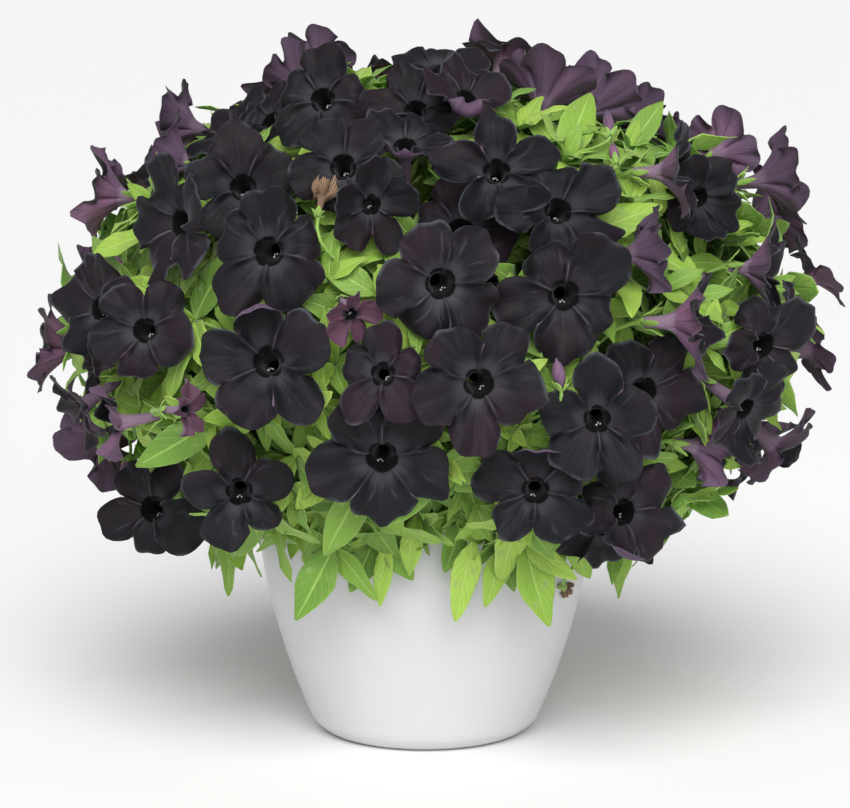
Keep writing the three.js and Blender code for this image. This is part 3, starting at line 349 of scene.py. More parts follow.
def tubes_cross(mouths, facings, radii, other_mouths, other_facings, other_radii):
    """Whether the tube behind the first flower runs through the disc of the second, by pairs."""
    start = mouths - other_mouths
    end = start - TUBE * radii * facings
    before, after = dot(start, other_facings), dot(end, other_facings)
    share = before / np.where(before == after, 1, before - after)
    hit = np.linalg.norm(start + (end - start) * share, axis=-1, keepdims=True)
    return ((before * after < 0) & (hit < other_radii + LAYER["tube"]))[..., 0]


def cuts_of(flower, mouth, others):
    """How many of the others the flower cuts, or is cut by, with its mouth at that place."""
    if not others:
        return 0
    facing, radius = flower["facing"], flower["radius"]
    mouths, facings, radii = (np.array([f[key] for f in others])
                              for key in ("mouth", "facing", "radius"))
    own, their = (mouth[None], facing[None], radius), (mouths, facings, radii[:, None])
    cuts = np.sum(discs_cross(mouth, facing, radius, mouths, facings, radii))
    return int(cuts + np.sum(tubes_cross(*own, *their)) + np.sum(tubes_cross(*their, *own)))


def cuts_in_all():
    """How many cuts there are between all flowers."""
    return sum(cuts_of(flower, flower["mouth"], flowers[:j]) for j, flower in enumerate(flowers))


print("cuts between flowers as listed:", cuts_in_all())

# %% [markdown]
# Now each flower slides a little nearer or farther, along its line of sight or along the dome's
# normal, until it cuts as few of the earlier flowers as possible. Along those lines it keeps its
# place in the picture or on the plant.

# %% Flowers that make room for each other
def settle(flowers):
    """Slides each flower along its own line to where it cuts the fewest before it."""
    for j, flower in enumerate(flowers[1:], 1):
        places = [flower["mouth"] + flower["slide"] * slide for slide in LAYER["slides"]]
        cuts = [cuts_of(flower, place, flowers[:j]) for place in places]
        flower["mouth"] = places[int(np.argmin(cuts))]


settle(flowers)
print("cuts when settled:", cuts_in_all())

# %% [markdown]
# Every flower then gets its own form: how far each of its five lobes bends, how long it is, how
# deep the edge is cut between two lobes, and where its tube ends. Small flowers are past their
# best, and the outermost stay smaller and calmer, because they make the plant's outline.

# %% The form of each flower
LOBES = dict(spread=36, longer=0.28, shallow=0.3, deep=0.6, loose=0.17, hang=50, farthest=-88)
FADING = dict(radius=15, tone=1.5, crumple=2.4)
OUTERMOST = dict(aside=200, height=355, size=0.88, crumple=0.6, bend=0.2)
TURNED_AWAY = 0.15  # flowers that look away by more than this show their darker backs


def shape(flower, number):
    """Gives a flower its cross directions, its lobes' bends, lengths and cuts, and its foot."""
    facing = flower["facing"]
    flower["upward"] = unit(UP - facing * (UP @ facing))
    flower["leftward"] = np.cross(facing, flower["upward"])
    from_fold = (flower["at"] - flower["roll"] - 72 * np.arange(5)) % 360
    folded = np.where(np.abs((from_fold + 540) % 360 - 180) < 36, flower["fold"], 0)
    loose = (chances(number, 170) < LOBES["loose"]) & (folded == 0)
    spread = LOBES["spread"] * (chances(number, 10) - 0.5)
    bend = flower["reflex"] + folded - LOBES["hang"] * loose + spread
    flower["lobes"] = np.radians(np.maximum(LOBES["farthest"], bend))
    flower["longer"] = LOBES["longer"] * (chances(number, 140) - 0.5)
    deeper = (LOBES["deep"] - LOBES["shallow"]) * chances(number, 180)
    flower["notches"] = LOBES["shallow"] + deeper
    flower["foot"] = flower["mouth"] - facing * TUBE * flower["radius"]
    flower["number"] = number
    if flower["radius"] <= FADING["radius"]:
        flower.update(tone=FADING["tone"], crumple=FADING["crumple"])
    elif facing @ FORWARD > TURNED_AWAY and number % 3:
        flower["tone"] = 1.0
    aside, height = abs(flower["mouth"][0] - DOME["centre"][0]), flower["mouth"][2]
    if aside > OUTERMOST["aside"] or height > OUTERMOST["height"]:
        flower.update(size=OUTERMOST["size"], crumple=OUTERMOST["crumple"],
                      lobes=np.minimum(flower["lobes"], OUTERMOST["bend"]))


for n, flower in enumerate(flowers):
    shape(flower, n)
MOUTHS = np.array([f["mouth"] for f in flowers])
FACINGS = np.array([f["facing"] for f in flowers])
RADII = np.array([f["radius"] for f in flowers])
print("the widest flower is", round(2 * RADII.max()), "mm across")

# %% [markdown]
# Nothing that grows is straight. Two kinds of curve are enough here. A stem goes through given
# points, which is easy to place, and the centripetal kind never loops. A branch or a stalk leaves
# along one direction and arrives along another, which is what a curve with handles does.

# %% Curves
def through(points, shares):
    """A centripetal Catmull-Rom curve through the points at shares 0..1 of its run."""
    points = np.concatenate([[2 * points[0] - points[1]], points, [2 * points[-1] - points[-2]]])
    runs = len(points) - 3
    at = np.asarray(shares, dtype=float) * runs
    k = np.minimum(at.astype(int), runs - 1)
    t = (at - k)[:, None]
    p = [points[k + j] for j in range(4)]
    gap = [np.linalg.norm(p[j + 1] - p[j], axis=1, keepdims=True) ** 0.5 for j in range(3)]
    pace = [(p[j + 1] - p[j]) / gap[j] for j in range(3)]
    leave = (pace[0] - (p[2] - p[0]) / (gap[0] + gap[1]) + pace[1]) * gap[1]
    arrive = (pace[1] - (p[3] - p[1]) / (gap[1] + gap[2]) + pace[2]) * gap[1]
    cubic = 2 * p[1] - 2 * p[2] + leave + arrive
    square = -3 * p[1] + 3 * p[2] - 2 * leave - arrive
    return p[1] + leave * t + square * t**2 + cubic * t**3


def bent(start, leaving, end, arriving, pull):
    """The four handles of a curve that leaves along one direction and arrives along another."""
    length = pull * np.linalg.norm(end - start)
    return np.array([start, start + leaving * length, end - arriving * length, end])


def on_bent(handles, shares):
    """Points of such curves at shares 0..1: each handle counts by its share of a cubic Bezier."""
    t = np.asarray(shares, dtype=float)[:, None]
    weights = ((1 - t) ** 3, 3 * (1 - t) ** 2 * t, 3 * (1 - t) * t**2, t**3)
    return sum(w * handles[..., k, None, :] for k, w in enumerate(weights))


bend = bent(0 * UP, UP, UP + RIGHT, RIGHT, 0.4)
print("middle of a quarter bend:", np.round(on_bent(bend, [0.5])[0], 2))

# %% [markdown]
# The stems stand in three tiers: seven low ones near the pot's edge, five steeper ones and two
# nearly upright. Each goes through four points: its root in the soil, the soil's surface, a point
# past the crown, and its end inside the dome.

# %% Stems
STEM = dict(root=2.4, tip=1.3, rings=5)
SOIL = dict(edge=108.0, crown=113.0, hole=26.0)
TIERS = (
    dict(count=7, rise=8, reach=0.66, circle=54, turn=-64),
    dict(count=5, rise=42, reach=0.68, circle=34, turn=-90),
    dict(count=2, rise=72, reach=0.66, circle=13, turn=20),
)


def reach_from(start, heading):
    """How far the dome lies from a point inside it, by halving."""
    inside, outside = 0.0, 400.0
    for _ in range(40):
        middle = (inside + outside) / 2
        if dome_measure(start + heading * middle) < 1:
            inside = middle
        else:
            outside = middle
    return inside


def grow_stems():
    """One stem for each place of each tier."""
    made = []
    for tier in TIERS:
        for i in range(tier["count"]):
            turn = math.radians(tier["turn"] + 360 * i / tier["count"])
            outward = bearing(turn)
            heading = turned(outward, UP, math.radians(tier["rise"]))
            length = tier["reach"] * reach_from(CROWN, heading)
            root = outward * tier["circle"]
            points = np.array([
                root + UP * (SOIL["edge"] - SOIL["hole"] + 4), root + UP * (SOIL["crown"] + 4),
                CROWN + heading * length / 2 + UP * 10, CROWN + heading * length,
            ])
            rings = through(points, np.arange(STEM["rings"] + 1) / STEM["rings"])
            made.append(dict(heading=heading, points=points, rings=rings, flowers=[], tufts=[]))
    return made


stems = grow_stems()
HEADINGS = np.array([s["heading"] for s in stems])


def on_stem(stem, share):
    """The point and the heading at a share of a stem."""
    ring = min(STEM["rings"] - 1, int(share * STEM["rings"]))
    start, end = stem["rings"][ring], stem["rings"][ring + 1]
    return start + (end - start) * (share * STEM["rings"] - ring), unit(end - start)


def stem_near(point):
    """The stem whose heading from the crown is nearest to a point."""
    return stems[int(np.argmax(HEADINGS @ unit(point - CROWN)))]


for flower in flowers:
    stem_near(flower["foot"])["flowers"].append(flower)
print("stems:", len(stems), "with flowers:", [len(s["flowers"]) for s in stems])

# %% [markdown]
# A petunia carries its flowers singly on thin stalks that leave the shoot beside a leaf. Here two
# or three neighbours share the first part of their stalk, as on a side shoot, and each stalk ends
# along the axis of its own flower, so that the trumpet sits straight on it.

# %% Sprays
STALK = dict(collar=1.9, gap=0.3, most=3, fork=0.45)


def sprays_of(stem):
    """The stem's flowers in sprays, ordered round the stem, with the joint and the fork of each."""
    side = unit(np.cross(stem["heading"], UP if abs(stem["heading"][2]) < 0.9 else RIGHT))
    other = np.cross(stem["heading"], side)
    off = [f["foot"] - CROWN for f in stem["flowers"]]
    order = np.argsort([math.atan2(o @ other, o @ side) for o in off], kind="stable")
    count = math.ceil(len(order) / STALK["most"])
    edges = [math.floor(i * len(order) / count + 0.5) for i in range(count + 1)]
    made = []
    for i in range(count):
        group = [stem["flowers"][j] for j in order[edges[i]:edges[i + 1]]]
        middle = sum(f["foot"] for f in group) / len(group)
        point, heading = on_stem(stem, 0.62 + 0.3 * (i + 0.5) / count)
        outward = middle - point
        outward = unit(outward - heading * (outward @ heading))
        joint = point + outward * (STEM["root"] + STALK["collar"] + 2 * STALK["gap"])
        fork = joint + (middle - joint) * STALK["fork"]
        onward = unit(fork - joint)
        trunk = bent(joint, unit(heading + outward), fork, onward, 0.3)
        stalks = []
        for j, f in enumerate(group):
            straight = unit(f["foot"] - fork)
            stalks.append(bent(fork, straight if j else onward, f["foot"], f["facing"], 0.34))
        made.append(dict(flowers=group, trunk=trunk, stalks=stalks, joint=joint, point=point))
    return made


sprays = [spray for stem in stems for spray in sprays_of(stem)]
print("sprays:", len(sprays))

# %% [markdown]
# Leaves may not stand in a flower, nor so close before its face that they would hide it. The test
# takes a flower as a shallow cone on a tube and asks whether a point lies inside or just in front.

# %% Leaves and the room for them
LEAF = dict(fold=0.2, widest=0.8, apart=14)
SPRIG = dict(tries=240, shell=0.87, apart=37, leaves=4, longest=50, shorter=40)


def in_flower(points, clear):
    """For each point, whether it lies in some flower or just before its face."""
    off = points[..., None, :] - MOUTHS
    ahead = np.sum(off * FACINGS, axis=-1)
    aside = np.sqrt(np.maximum(0, np.sum(off**2, axis=-1) - ahead**2))
    throat = THROAT * RADII
    in_tube = (aside < throat + clear) & (ahead < 0) & (ahead > -TUBE * RADII - clear)
    share = np.clip((aside - throat) / (RADII - throat), 0, 1)
    skin = -FUNNEL * RADII * (1 - share) ** 2
    before = (ahead > skin - clear - 0.1 * RADII) & (ahead < 40)
    return np.any((aside <= RADII + clear) & (in_tube | before), axis=-1)


def nearest(points, place):
    """The index of the nearest of the points, and how far off it is: without points, endlessly."""
    if not len(points):
        return 0, math.inf
    gaps = np.linalg.norm(np.asarray(points) - place, axis=1)
    return int(np.argmin(gaps)), gaps.min()


def leaf_of(base, direction, upper, length, half, droop):
    """A leaf by its base, direction, upper side, length, half width and the fall of its tip."""
    across = unit(np.cross(direction, upper))
    face = unit(np.cross(across, direction))
    return dict(base=base, direction=direction, across=across, face=face, length=length,
                half=half, droop=droop)


def leaf_point(leaf, s, w):
    """A leaf's point at share s along its midrib and share w across: the half width is a sine of s,
    the tip falls with the square of s, and the blade is folded up a little on both sides."""
    half = leaf["half"] * math.sin(math.pi * min(1, s) ** LEAF["widest"])
    p = leaf["base"] + leaf["direction"] * leaf["length"] * s * (1 - 0.25 * leaf["droop"] * s)
    p = p + leaf["face"] * (LEAF["fold"] * half * abs(w) - leaf["length"] * leaf["droop"] * s * s)
    return p + leaf["across"] * half * w


LEAF_TESTS = ((0.3, 1), (0.3, -1), (0.5, 0), (0.75, 1), (0.75, -1), (1, 0))


def leaf_is_clear(leaf, clear=3):
    """Whether none of six points of the leaf is in a flower."""
    return not np.any(in_flower(np.array([leaf_point(leaf, s, w) for s, w in LEAF_TESTS]), clear))


def first_clear(leaves, clear):
    """The first of the leaves that is clear of the flowers, as a list of one, or else of none."""
    return next(([leaf] for leaf in leaves if leaf_is_clear(leaf, clear)), [])


def around(axis):
    """Two directions across an axis, from which turns round it are counted."""
    side = unit(np.cross(axis, UP))
    return side, np.cross(axis, side)


spots = np.array([dome_point(even_direction(i, 99, -0.7, 0.9), 0.95)[0] for i in range(99)])
print("share of the dome free of flowers:", round(1 - float(np.mean(in_flower(spots, 2))), 2))

# %% [markdown]
# Leafy tufts fill the gaps between the flowers. A tuft grows at the end of a branch from the stem
# that heads its way, and its leaves stand round the branch, long and short in turn. A leaf that
# would run into a flower stands up more, lies lower or stays smaller, or is left out.

# %% Tufts between the flowers
LEANS = ((62, 1), (44, 1), (80, 0.9), (34, 0.8), (55, 0.65))
NEAR_BRANCH = 4.5
leaf_middles = []


def tuft_leaves(hub, axis, number):
    """The leaves round the end of a branch."""
    side, top = around(axis)
    made = []
    for i in range(SPRIG["leaves"]):
        step = 360 / SPRIG["leaves"]
        turn = math.radians(step * (i + 0.5 * (chance(number, i) - 0.5)) + 72 * chance(number, 9))
        outward = turned(side, top, turn)
        full = SPRIG["shorter" if i % 2 else "longest"] + 8 * (chance(number, 10 + i) - 0.5)
        for lean, size in LEANS:
            direction = turned(axis, outward, math.radians(lean))
            length = full * size
            droop = 0.1 + 0.15 * chance(number, 20 + i)
            leaf = leaf_of(hub, direction, axis, length, 0.2 * length + 1.5, droop)
            middle = leaf_point(leaf, 0.6, 0)
            if nearest(leaf_middles, middle)[1] < LEAF["apart"] or not leaf_is_clear(leaf):
                continue
            leaf_middles.append(middle)
            made.append(leaf)
            break
    return made


OUTER = np.arange(3, 16) / 15
in_the_way = [on_bent(curve, OUTER)
              for spray in sprays for curve in (spray["trunk"], *spray["stalks"])]


def branch_to(stem, hub, axis, pull, places):
    """A branch from the first place on the stem from which no stalk or other stem is in the way."""
    others = np.array(in_the_way + [through(s["points"], OUTER) for s in stems if s is not stem])
    for at in places:
        point, heading = on_stem(stem, at)
        path = bent(point, heading, hub, axis, pull)
        gaps = np.linalg.norm(others[:, :, None] - on_bent(path, OUTER), axis=-1)
        if gaps.min() >= NEAR_BRANCH:
            return path
    return None


def grow_tufts():
    """Tufts on evenly spread directions, wherever there is room between the flowers."""
    taken = []
    for i in range(SPRIG["tries"]):
        share = SPRIG["shell"] + 0.08 * (chance(i, 31) - 0.5)
        point, normal = dome_point(even_direction(i, SPRIG["tries"], -0.72, 0.97), share)
        if nearest(taken, point)[1] < SPRIG["apart"] or in_flower(point, 2):
            continue
        stem = stem_near(point)
        path = branch_to(stem, point, normal, 0.35, (0.7, 0.8, 0.6, 0.9, 0.5))
        if path is None:
            continue
        leaves = tuft_leaves(point, normal, 1000 + i)
        if len(leaves) < 3:
            continue
        taken.append(point)
        in_the_way.append(on_bent(path, OUTER))
        stem["tufts"].append(dict(path=path, hub=point, axis=normal, leaves=leaves, number=i))


grow_tufts()
print("tufts:", sum(len(s["tufts"]) for s in stems), "leaves:", len(leaf_middles))

# %% [markdown]
# Tufts also hang before the wall all round the pot, on branches that bend over its rim. Those of
# the front are given by where their leaves' tips are in the picture, the others by rule.

# %% Tufts over the rim
HANGING = (
    (334, 546, 108, ((300, 622, 20), (378, 600, 12))),
    (388, 541, 106, ((377, 606, 10), (413, 580, 14))),
    (462, 520, 104, ((446, 573, 13),)),
    (474, 540, 111, ((450, 620, 15),)),
    (503, 545, 105, ((487, 607, 14),)),
    (524, 543, 110, ((543, 628, 20), (575, 582, 12))),
)
SKIRT = dict(start=0.55, hang=108, tufts=8, height=121, leaves=3, longest=44, shortest=30, wide=19)
BY_RULE = 600  # tufts with this number or a higher one are those by rule


def on_plane(px, py, distance):
    """The point on the line of sight that lies so far in front of the pot's axis."""
    ray = sight(px, py)
    return EYE + ray * ((-distance - EYE[1]) / ray[1])


def hang(hub, tips, number):
    """A tuft with its leaves' tips given, on a branch from the low stem that heads its way."""
    axis = unit(hub * np.array([1, 1, 0]))
    upper = unit(axis - FORWARD * (number >= BY_RULE))
    leaves = [leaf_of(hub, unit(tip - hub), upper, np.linalg.norm(tip - hub), half, -0.05)
              for tip, half in tips]
    stem = stems[int(np.argmax(HEADINGS[: TIERS[0]["count"]] @ axis))]
    point, heading = on_stem(stem, SKIRT["start"])
    path = bent(point, heading, hub, -UP, 0.5)
    tuft = dict(path=path, hub=hub, axis=axis, leaves=leaves, number=number, hanging=True)
    stem["tufts"].append(tuft)


def grow_skirt():
    """The tufts that hang over the rim, those of the front first."""
    for n, (px, py, distance, tips) in enumerate(HANGING):
        hub = on_plane(px, py, distance)
        ends = [(on_plane(x, y, distance), wide / 2) for x, y, wide in tips]
        ends += [(hub + np.array([7 if small == 2 else -9, -9, 13]), 4.5)
                 for small in range(len(tips), 3)]
        hang(hub, ends, 500 + n)
    for i in range(SKIRT["tufts"]):
        turn = math.radians(-20 + 220 * i / (SKIRT["tufts"] - 1))
        outward = bearing(turn)
        sideways = np.array([-outward[1], outward[0], 0])
        hub = outward * SKIRT["hang"] + UP * SKIRT["height"]
        ends = []
        for k in range(SKIRT["leaves"]):
            length = SKIRT["shortest"] + (SKIRT["longest"] - SKIRT["shortest"]) * chance(i, 40 + k)
            swing = math.radians(40 * (k - 1) + 16 * (chance(i, 44 + k) - 0.5))
            tip = hub + sideways * length * math.sin(swing) - UP * length * math.cos(swing)
            ends.append((tip, SKIRT["wide"] / 2 * (0.6 + 0.4 * chance(i, 48 + k))))
        hang(hub, ends, BY_RULE + i)


grow_skirt()
print("tufts with those over the rim:", sum(len(s["tufts"]) for s in stems))

# %% [markdown]
# The fine petals are wavier than the coarse ones, so some would cut into their neighbours. A search
# over small steps found how many millimetres each of these flowers has to move along its own axis
# for the fewest cuts. Its tube's foot stays on its stalk, and the tube takes up the difference.

# %% Petals that give way
GIVE_WAY = {
    2: 2, 3: -1, 4: 1, 5: -6, 6: -2, 9: -3, 11: -3, 20: -1, 24: -1, 26: 1, 28: 1, 30: 1, 31: -1,
    33: -4, 34: 1, 35: -4, 45: -4, 49: -6, 50: 2, 55: -1, 61: 1, 66: -3, 74: 1, 78: -2,
}
for number, step in GIVE_WAY.items():
    flowers[number]["mouth"] = flowers[number]["mouth"] + flowers[number]["facing"] * step
MOUTHS = np.array([f["mouth"] for f in flowers])
print("flowers that give way:", len(GIVE_WAY))

# %% [markdown]
# Every piece of the plant is a closed skin: rings of points, one after the other, closed by a
# point at both ends. A stalk is rings along a path, a leaf is flat rings along its midrib, and a
# flower is one profile carried round that runs up the inside of the tube, over the rim and down the
# back. So one function turns rings into a mesh, for any number of like bodies at once. It works out
# the volume that each body encloses and turns the rings of an inside-out one the other way.

# %% Skins
def volume_of(rings, poles):
    """Six times the volume of each body: the sum of its triangles' triple products."""
    first = np.concatenate([poles[:, :1, None].repeat(rings.shape[2], axis=2), rings], axis=1)
    second = np.concatenate([rings, poles[:, 1:, None].repeat(rings.shape[2], axis=2)], axis=1)
    first_next, second_next = np.roll(first, -1, axis=2), np.roll(second, -1, axis=2)
    upper = np.sum(first * np.cross(second, second_next), axis=-1)
    lower = np.sum(first * np.cross(second_next, first_next), axis=-1)
    return np.sum(upper + lower, axis=(1, 2))


def skins(rings, place, tone):
    """Closed bodies from rings of shape (bodies, rings, points, 3). place holds what the paint
    reads at each point: share across, share along and side. tone is one number for each body."""
    poles = np.stack([rings[:, 0].mean(axis=1), rings[:, -1].mean(axis=1)], axis=1)
    inside_out = volume_of(rings - poles[:, :1, None], poles - poles[:, :1]) < 0
    rings[inside_out] = rings[inside_out][:, :, ::-1]
    place[inside_out] = place[inside_out][:, :, ::-1]
    bodies, rows, columns = rings.shape[:3]
    pole_place = np.stack([place[:, 0].mean(axis=1), place[:, -1].mean(axis=1)], axis=1)
    points = np.concatenate([rings.reshape(bodies, -1, 3), poles], axis=1)
    places = np.concatenate([place.reshape(bodies, -1, 3), pole_place], axis=1)
    row, column = np.meshgrid(np.arange(rows - 1), np.arange(columns), indexing="ij")
    beside = (column + 1) % columns
    quads = np.stack([row * columns + column, (row + 1) * columns + column,
                      (row + 1) * columns + beside, row * columns + beside], axis=-1).reshape(-1, 4)
    ring, after = np.arange(columns), (np.arange(columns) + 1) % columns
    last = (rows - 1) * columns
    start = np.stack([np.full(columns, rows * columns), ring, after], axis=-1)
    end = np.stack([last + ring, np.full(columns, rows * columns + 1), last + after], axis=-1)
    return dict(points=points, places=places, tones=np.asarray(tone, dtype=float), quads=quads,
                triangles=np.concatenate([start, end]))


def mesh_of(name, points, quads, triangles):
    """A mesh with smooth faces from its points in metres, its quads and its triangles."""
    mesh = bpy.data.meshes.new(name)
    mesh.vertices.add(len(points))
    mesh.vertices.foreach_set("co", points.ravel())
    mesh.loops.add(quads.size + triangles.size)
    mesh.loops.foreach_set("vertex_index", np.concatenate([quads.ravel(), triangles.ravel()]))
    mesh.polygons.add(len(quads) + len(triangles))
    starts = np.concatenate([np.arange(len(quads)) * 4, quads.size + np.arange(len(triangles)) * 3])
    mesh.polygons.foreach_set("loop_start", starts)
    mesh.polygons.foreach_set("use_smooth", np.ones(len(starts), dtype=bool))
    mesh.update(calc_edges=True)
    return mesh


def made_of(name, parts):
    """One mesh object, in metres, from several sets of skins."""
    quads, triangles = [], []
    base = 0
    for part in parts:
        bodies, count = part["points"].shape[:2]
        shift = base + np.arange(bodies)[:, None, None] * count
        quads.append((part["quads"] + shift).reshape(-1, 4))
        triangles.append((part["triangles"] + shift).reshape(-1, 3))
        base += bodies * count
    points = np.concatenate([part["points"].reshape(-1, 3) for part in parts]) * MM
    places = np.concatenate([part["places"].reshape(-1, 3) for part in parts])
    tones = np.concatenate([np.repeat(part["tones"], part["points"].shape[1]) for part in parts])
    mesh = mesh_of(name, points, np.concatenate(quads), np.concatenate(triangles))
    place = mesh.attributes.new("place", "FLOAT_VECTOR", "POINT")
    place.data.foreach_set("vector", places.ravel())
    tone = mesh.attributes.new("tone", "FLOAT", "POINT")
    tone.data.foreach_set("value", tones)
    piece = bpy.data.objects.new(name, mesh)
    bpy.context.scene.collection.objects.link(piece)
    return piece


print("a skin of 3 rings of 4 points has", 2 * 4, "quads and", 2 * 4, "triangles")

# %% [markdown]
# A round stalk is rings carried along its path. Each ring stands square to the path, and its first
# point is the same reference direction, laid into the ring's plane, so that the rings don't twist.

# %% Stalks
def tangents(points):
    """The unit directions along paths of shape (paths, points, 3)."""
    ahead = np.diff(points, axis=1)
    middle = ahead[:, 1:] + ahead[:, :-1]
    return unit(np.concatenate([ahead[:, :1], middle, ahead[:, -1:]], axis=1))


def stalk_skins(points, radii, sides=8, tone=0.5):
    """Round skins along paths: centre + radius times (first cos + second sin)."""
    points = np.asarray(points)
    heading = tangents(points)
    chord = unit(points[:, -1:] - points[:, :1])
    reference = np.cross(chord, np.where(np.abs(chord[..., 2:]) < 0.8, UP, RIGHT))
    first = unit(reference - heading * dot(reference, heading))
    second = np.cross(heading, first)
    turn = 2 * np.pi * np.arange(sides) / sides
    spokes = first[:, :, None] * np.cos(turn)[:, None] + second[:, :, None] * np.sin(turn)[:, None]
    rings = points[:, :, None] + np.asarray(radii)[..., None, None] * spokes
    along = np.linspace(0, 1, points.shape[1])[None, :, None]
    place = np.zeros(rings.shape)
    place[..., 0] = turn / (2 * np.pi)
    place[..., 1] = along
    return skins(rings, place, np.full(len(points), tone))


rod = stalk_skins((UP * np.arange(3)[:, None])[None], np.ones((1, 3)))
print("a rod of three rings has", rod["points"].shape[1], "points")

# %% [markdown]
# A leaf is soft and a little different each time. Its ring is a flat lens of ten points: the two
# margins, five over the top and three under it. So a leaf has only a few dozen faces and many
# leaves are cheap. The blade waves, most at its widest, the midrib lies in a fold, and the tip
# falls.

# %% Leaves
LEAF_ROWS = np.array([0.02, 0.14, 0.29, 0.45, 0.61, 0.76, 0.89, 0.98])
LEAF_RING = np.array([
    (-1, 0), (-0.93, 1), (-0.45, 1), (0, 1), (0.45, 1), (0.93, 1), (1, 0),
    (0.9, -1), (0, -1), (-0.9, -1),
])  # share across the half width, and which side
LEAF_THICK = 0.28


def leaf_skins(leaves, tones, seeds, wave=0.05, rows=LEAF_ROWS, fold=LEAF["fold"]):
    """Fine leaves: the point at s along and w across is base + direction length s (1 - droop s / 4)
    + across half(s) w + face (fold half |w| - length droop s^2 + a wave that grows with w^2)."""
    column = {key: np.array([leaf[key] for leaf in leaves]) for key in leaves[0]}
    vector = {key: column[key][:, None, None] for key in ("base", "direction", "across", "face")}
    length, full, droop = (column[key][:, None, None] for key in ("length", "half", "droop"))
    s, w, over = rows[None, :, None], LEAF_RING[None, None, :, 0], LEAF_RING[None, None, :, 1]
    phase = 2 * np.pi * np.asarray(seeds)[:, None, None]
    half = full * np.sin(np.pi * s ** LEAF["widest"]) ** 0.85
    side = np.where(w >= 0, 1.0, 0.6)
    ripple = wave * length * w**2 * (half / full) ** 0.7
    ripple = ripple * np.sin(2 * np.pi * (1.6 * s + side) + phase)
    swing = 0.06 * length * np.sin(phase * 3) * s**2
    height = fold * half * np.abs(w) - length * droop * s**2 + ripple
    height = height + LEAF_THICK * over * np.sqrt(1 - s**4)
    points = vector["base"] + vector["direction"] * (length * s * (1 - 0.25 * droop * s))[..., None]
    points = points + vector["across"] * (half * w + swing)[..., None]
    points = points + vector["face"] * height[..., None]
    place = np.stack(np.broadcast_arrays(np.abs(w), s, (over + 1) / 2), axis=-1)
    return skins(points, np.broadcast_to(place, points.shape).copy(), tones)


print("a leaf has", len(LEAF_ROWS) * len(LEAF_RING) + 2, "points")

# %% [markdown]
# The flower is the heart of the plant. Five lobes are grown together. Each bends by its own angle,
# where two meet there is a raised seam, and the edge is cut in a little and waves. All of that is
# worked out for each column of points from the throat to the rim, as shares of the flower's size.

# %% The lobes of a flower
COLUMNS = 16  # points across one lobe
LOBE = np.arange(5 * COLUMNS) // COLUMNS  # the lobe of each column
TURN = 72 * (np.arange(5 * COLUMNS) % COLUMNS) / COLUMNS - 36  # degrees from its lobe's middle
OFF = np.abs(TURN) / 36  # 0 in the middle of a lobe, 1 where two lobes meet
NEXT = np.where(TURN < 0, LOBE - 1, LOBE + 1) % 5  # the lobe beyond the nearer seam
SHEET_ROWS = np.array([
    0.1, 0.17, 0.25, 0.33, 0.41, 0.49, 0.57, 0.65, 0.73, 0.8, 0.86, 0.91, 0.95, 0.98, 1.0,
])
TUBE_ROWS = np.array([0, 0.04, 0.14, 0.28, 0.44, 0.6, 0.75, 0.88])
FLAT = 0.35  # the share of a lobe before its bend begins
TRUMPET = -12  # flowers bent back farther than this are long funnels
PETAL_THICK = 0.42


def waves(angle, counts, shares, seed):
    """A sum of sines round the flower, whole numbers of waves so that it closes."""
    phases = [2 * np.pi * chance(seed, 60 + n) for n in counts]
    return sum(a * np.sin(n * angle + phase) for n, a, phase in zip(counts, shares, phases))


def lengths(flower, angle):
    """The length of each column, as a share of its lobe: less at a notch, and a little uneven."""
    number = flower["number"]
    notch = flower["notches"][np.where(TURN < 0, LOBE, (LOBE + 1) % 5)]
    tip = 0.1 * chances(number, 190)[LOBE] ** 2
    uneven = 0.03 * waves(angle, (5, 7, 11, 17), (1, 1, 0.8, 0.5), number) + tip * (1 - OFF) ** 3
    uneven = uneven + flower["longer"][LOBE] * (1 - OFF**2)
    return 1.02 - notch * OFF**3.2 - flower["pointed"] * 0.27 * OFF**1.3 + uneven


def bends(flower, trumpet):
    """How far each column bends: by its lobe's angle, shared with the next lobe near the seam."""
    lobes = flower["lobes"]
    lobes = lobes * (0.6 if trumpet else np.where(np.abs(lobes) > 0.7, 2.1, 1.2))
    shared = np.clip((OFF - 0.5) / 0.5, 0, 1) ** 2 / 2
    return (lobes[LOBE] * (1 - shared) + lobes[NEXT] * shared) * (1 - 0.5 * OFF**2)


def relief(flower, angle, s, free):
    """How far the sheet stands before its plain curve, as a share of the radius: a raised seam, a
    fine midrib, margins that lap over or under the next, a keel in each lobe, and ruffles."""
    number = flower["number"]
    lap = 2 * chances(number, 150) - 1
    lap = np.sign(lap) * (0.45 + 0.55 * np.abs(lap))
    meets = np.where(TURN < 0, -lap[LOBE], lap[NEXT]) * OFF**2
    keel = (2 * chances(number, 160) - 1)[LOBE] * (1 - OFF) ** 1.4
    ruffle = waves(angle, (3, 4, 7, 11, 16), (0.55, 0.5, 0.5, 0.4, 0.25), number)
    crumple = flower.get("crumple", 0.8 + 0.9 * chance(number, 211) ** 1.5)
    raised = 0.09 * np.exp(-(((1 - OFF) / 0.15) ** 2)) * np.sin(np.pi * s**0.8) ** 0.8
    raised = raised - 0.06 * np.exp(-((OFF / 0.12) ** 2)) * s * (1 - s)
    raised = raised + 0.06 * (np.cos(np.pi * OFF) + 0.3) * s**2 + 0.16 * meets * free
    return raised + 0.1 * keel * s**1.6 + (0.17 * s**2 - 0.06 * s) * ruffle * crumple


print("columns of a flower:", len(LOBE), "rows:", len(TUBE_ROWS) + len(SHEET_ROWS))

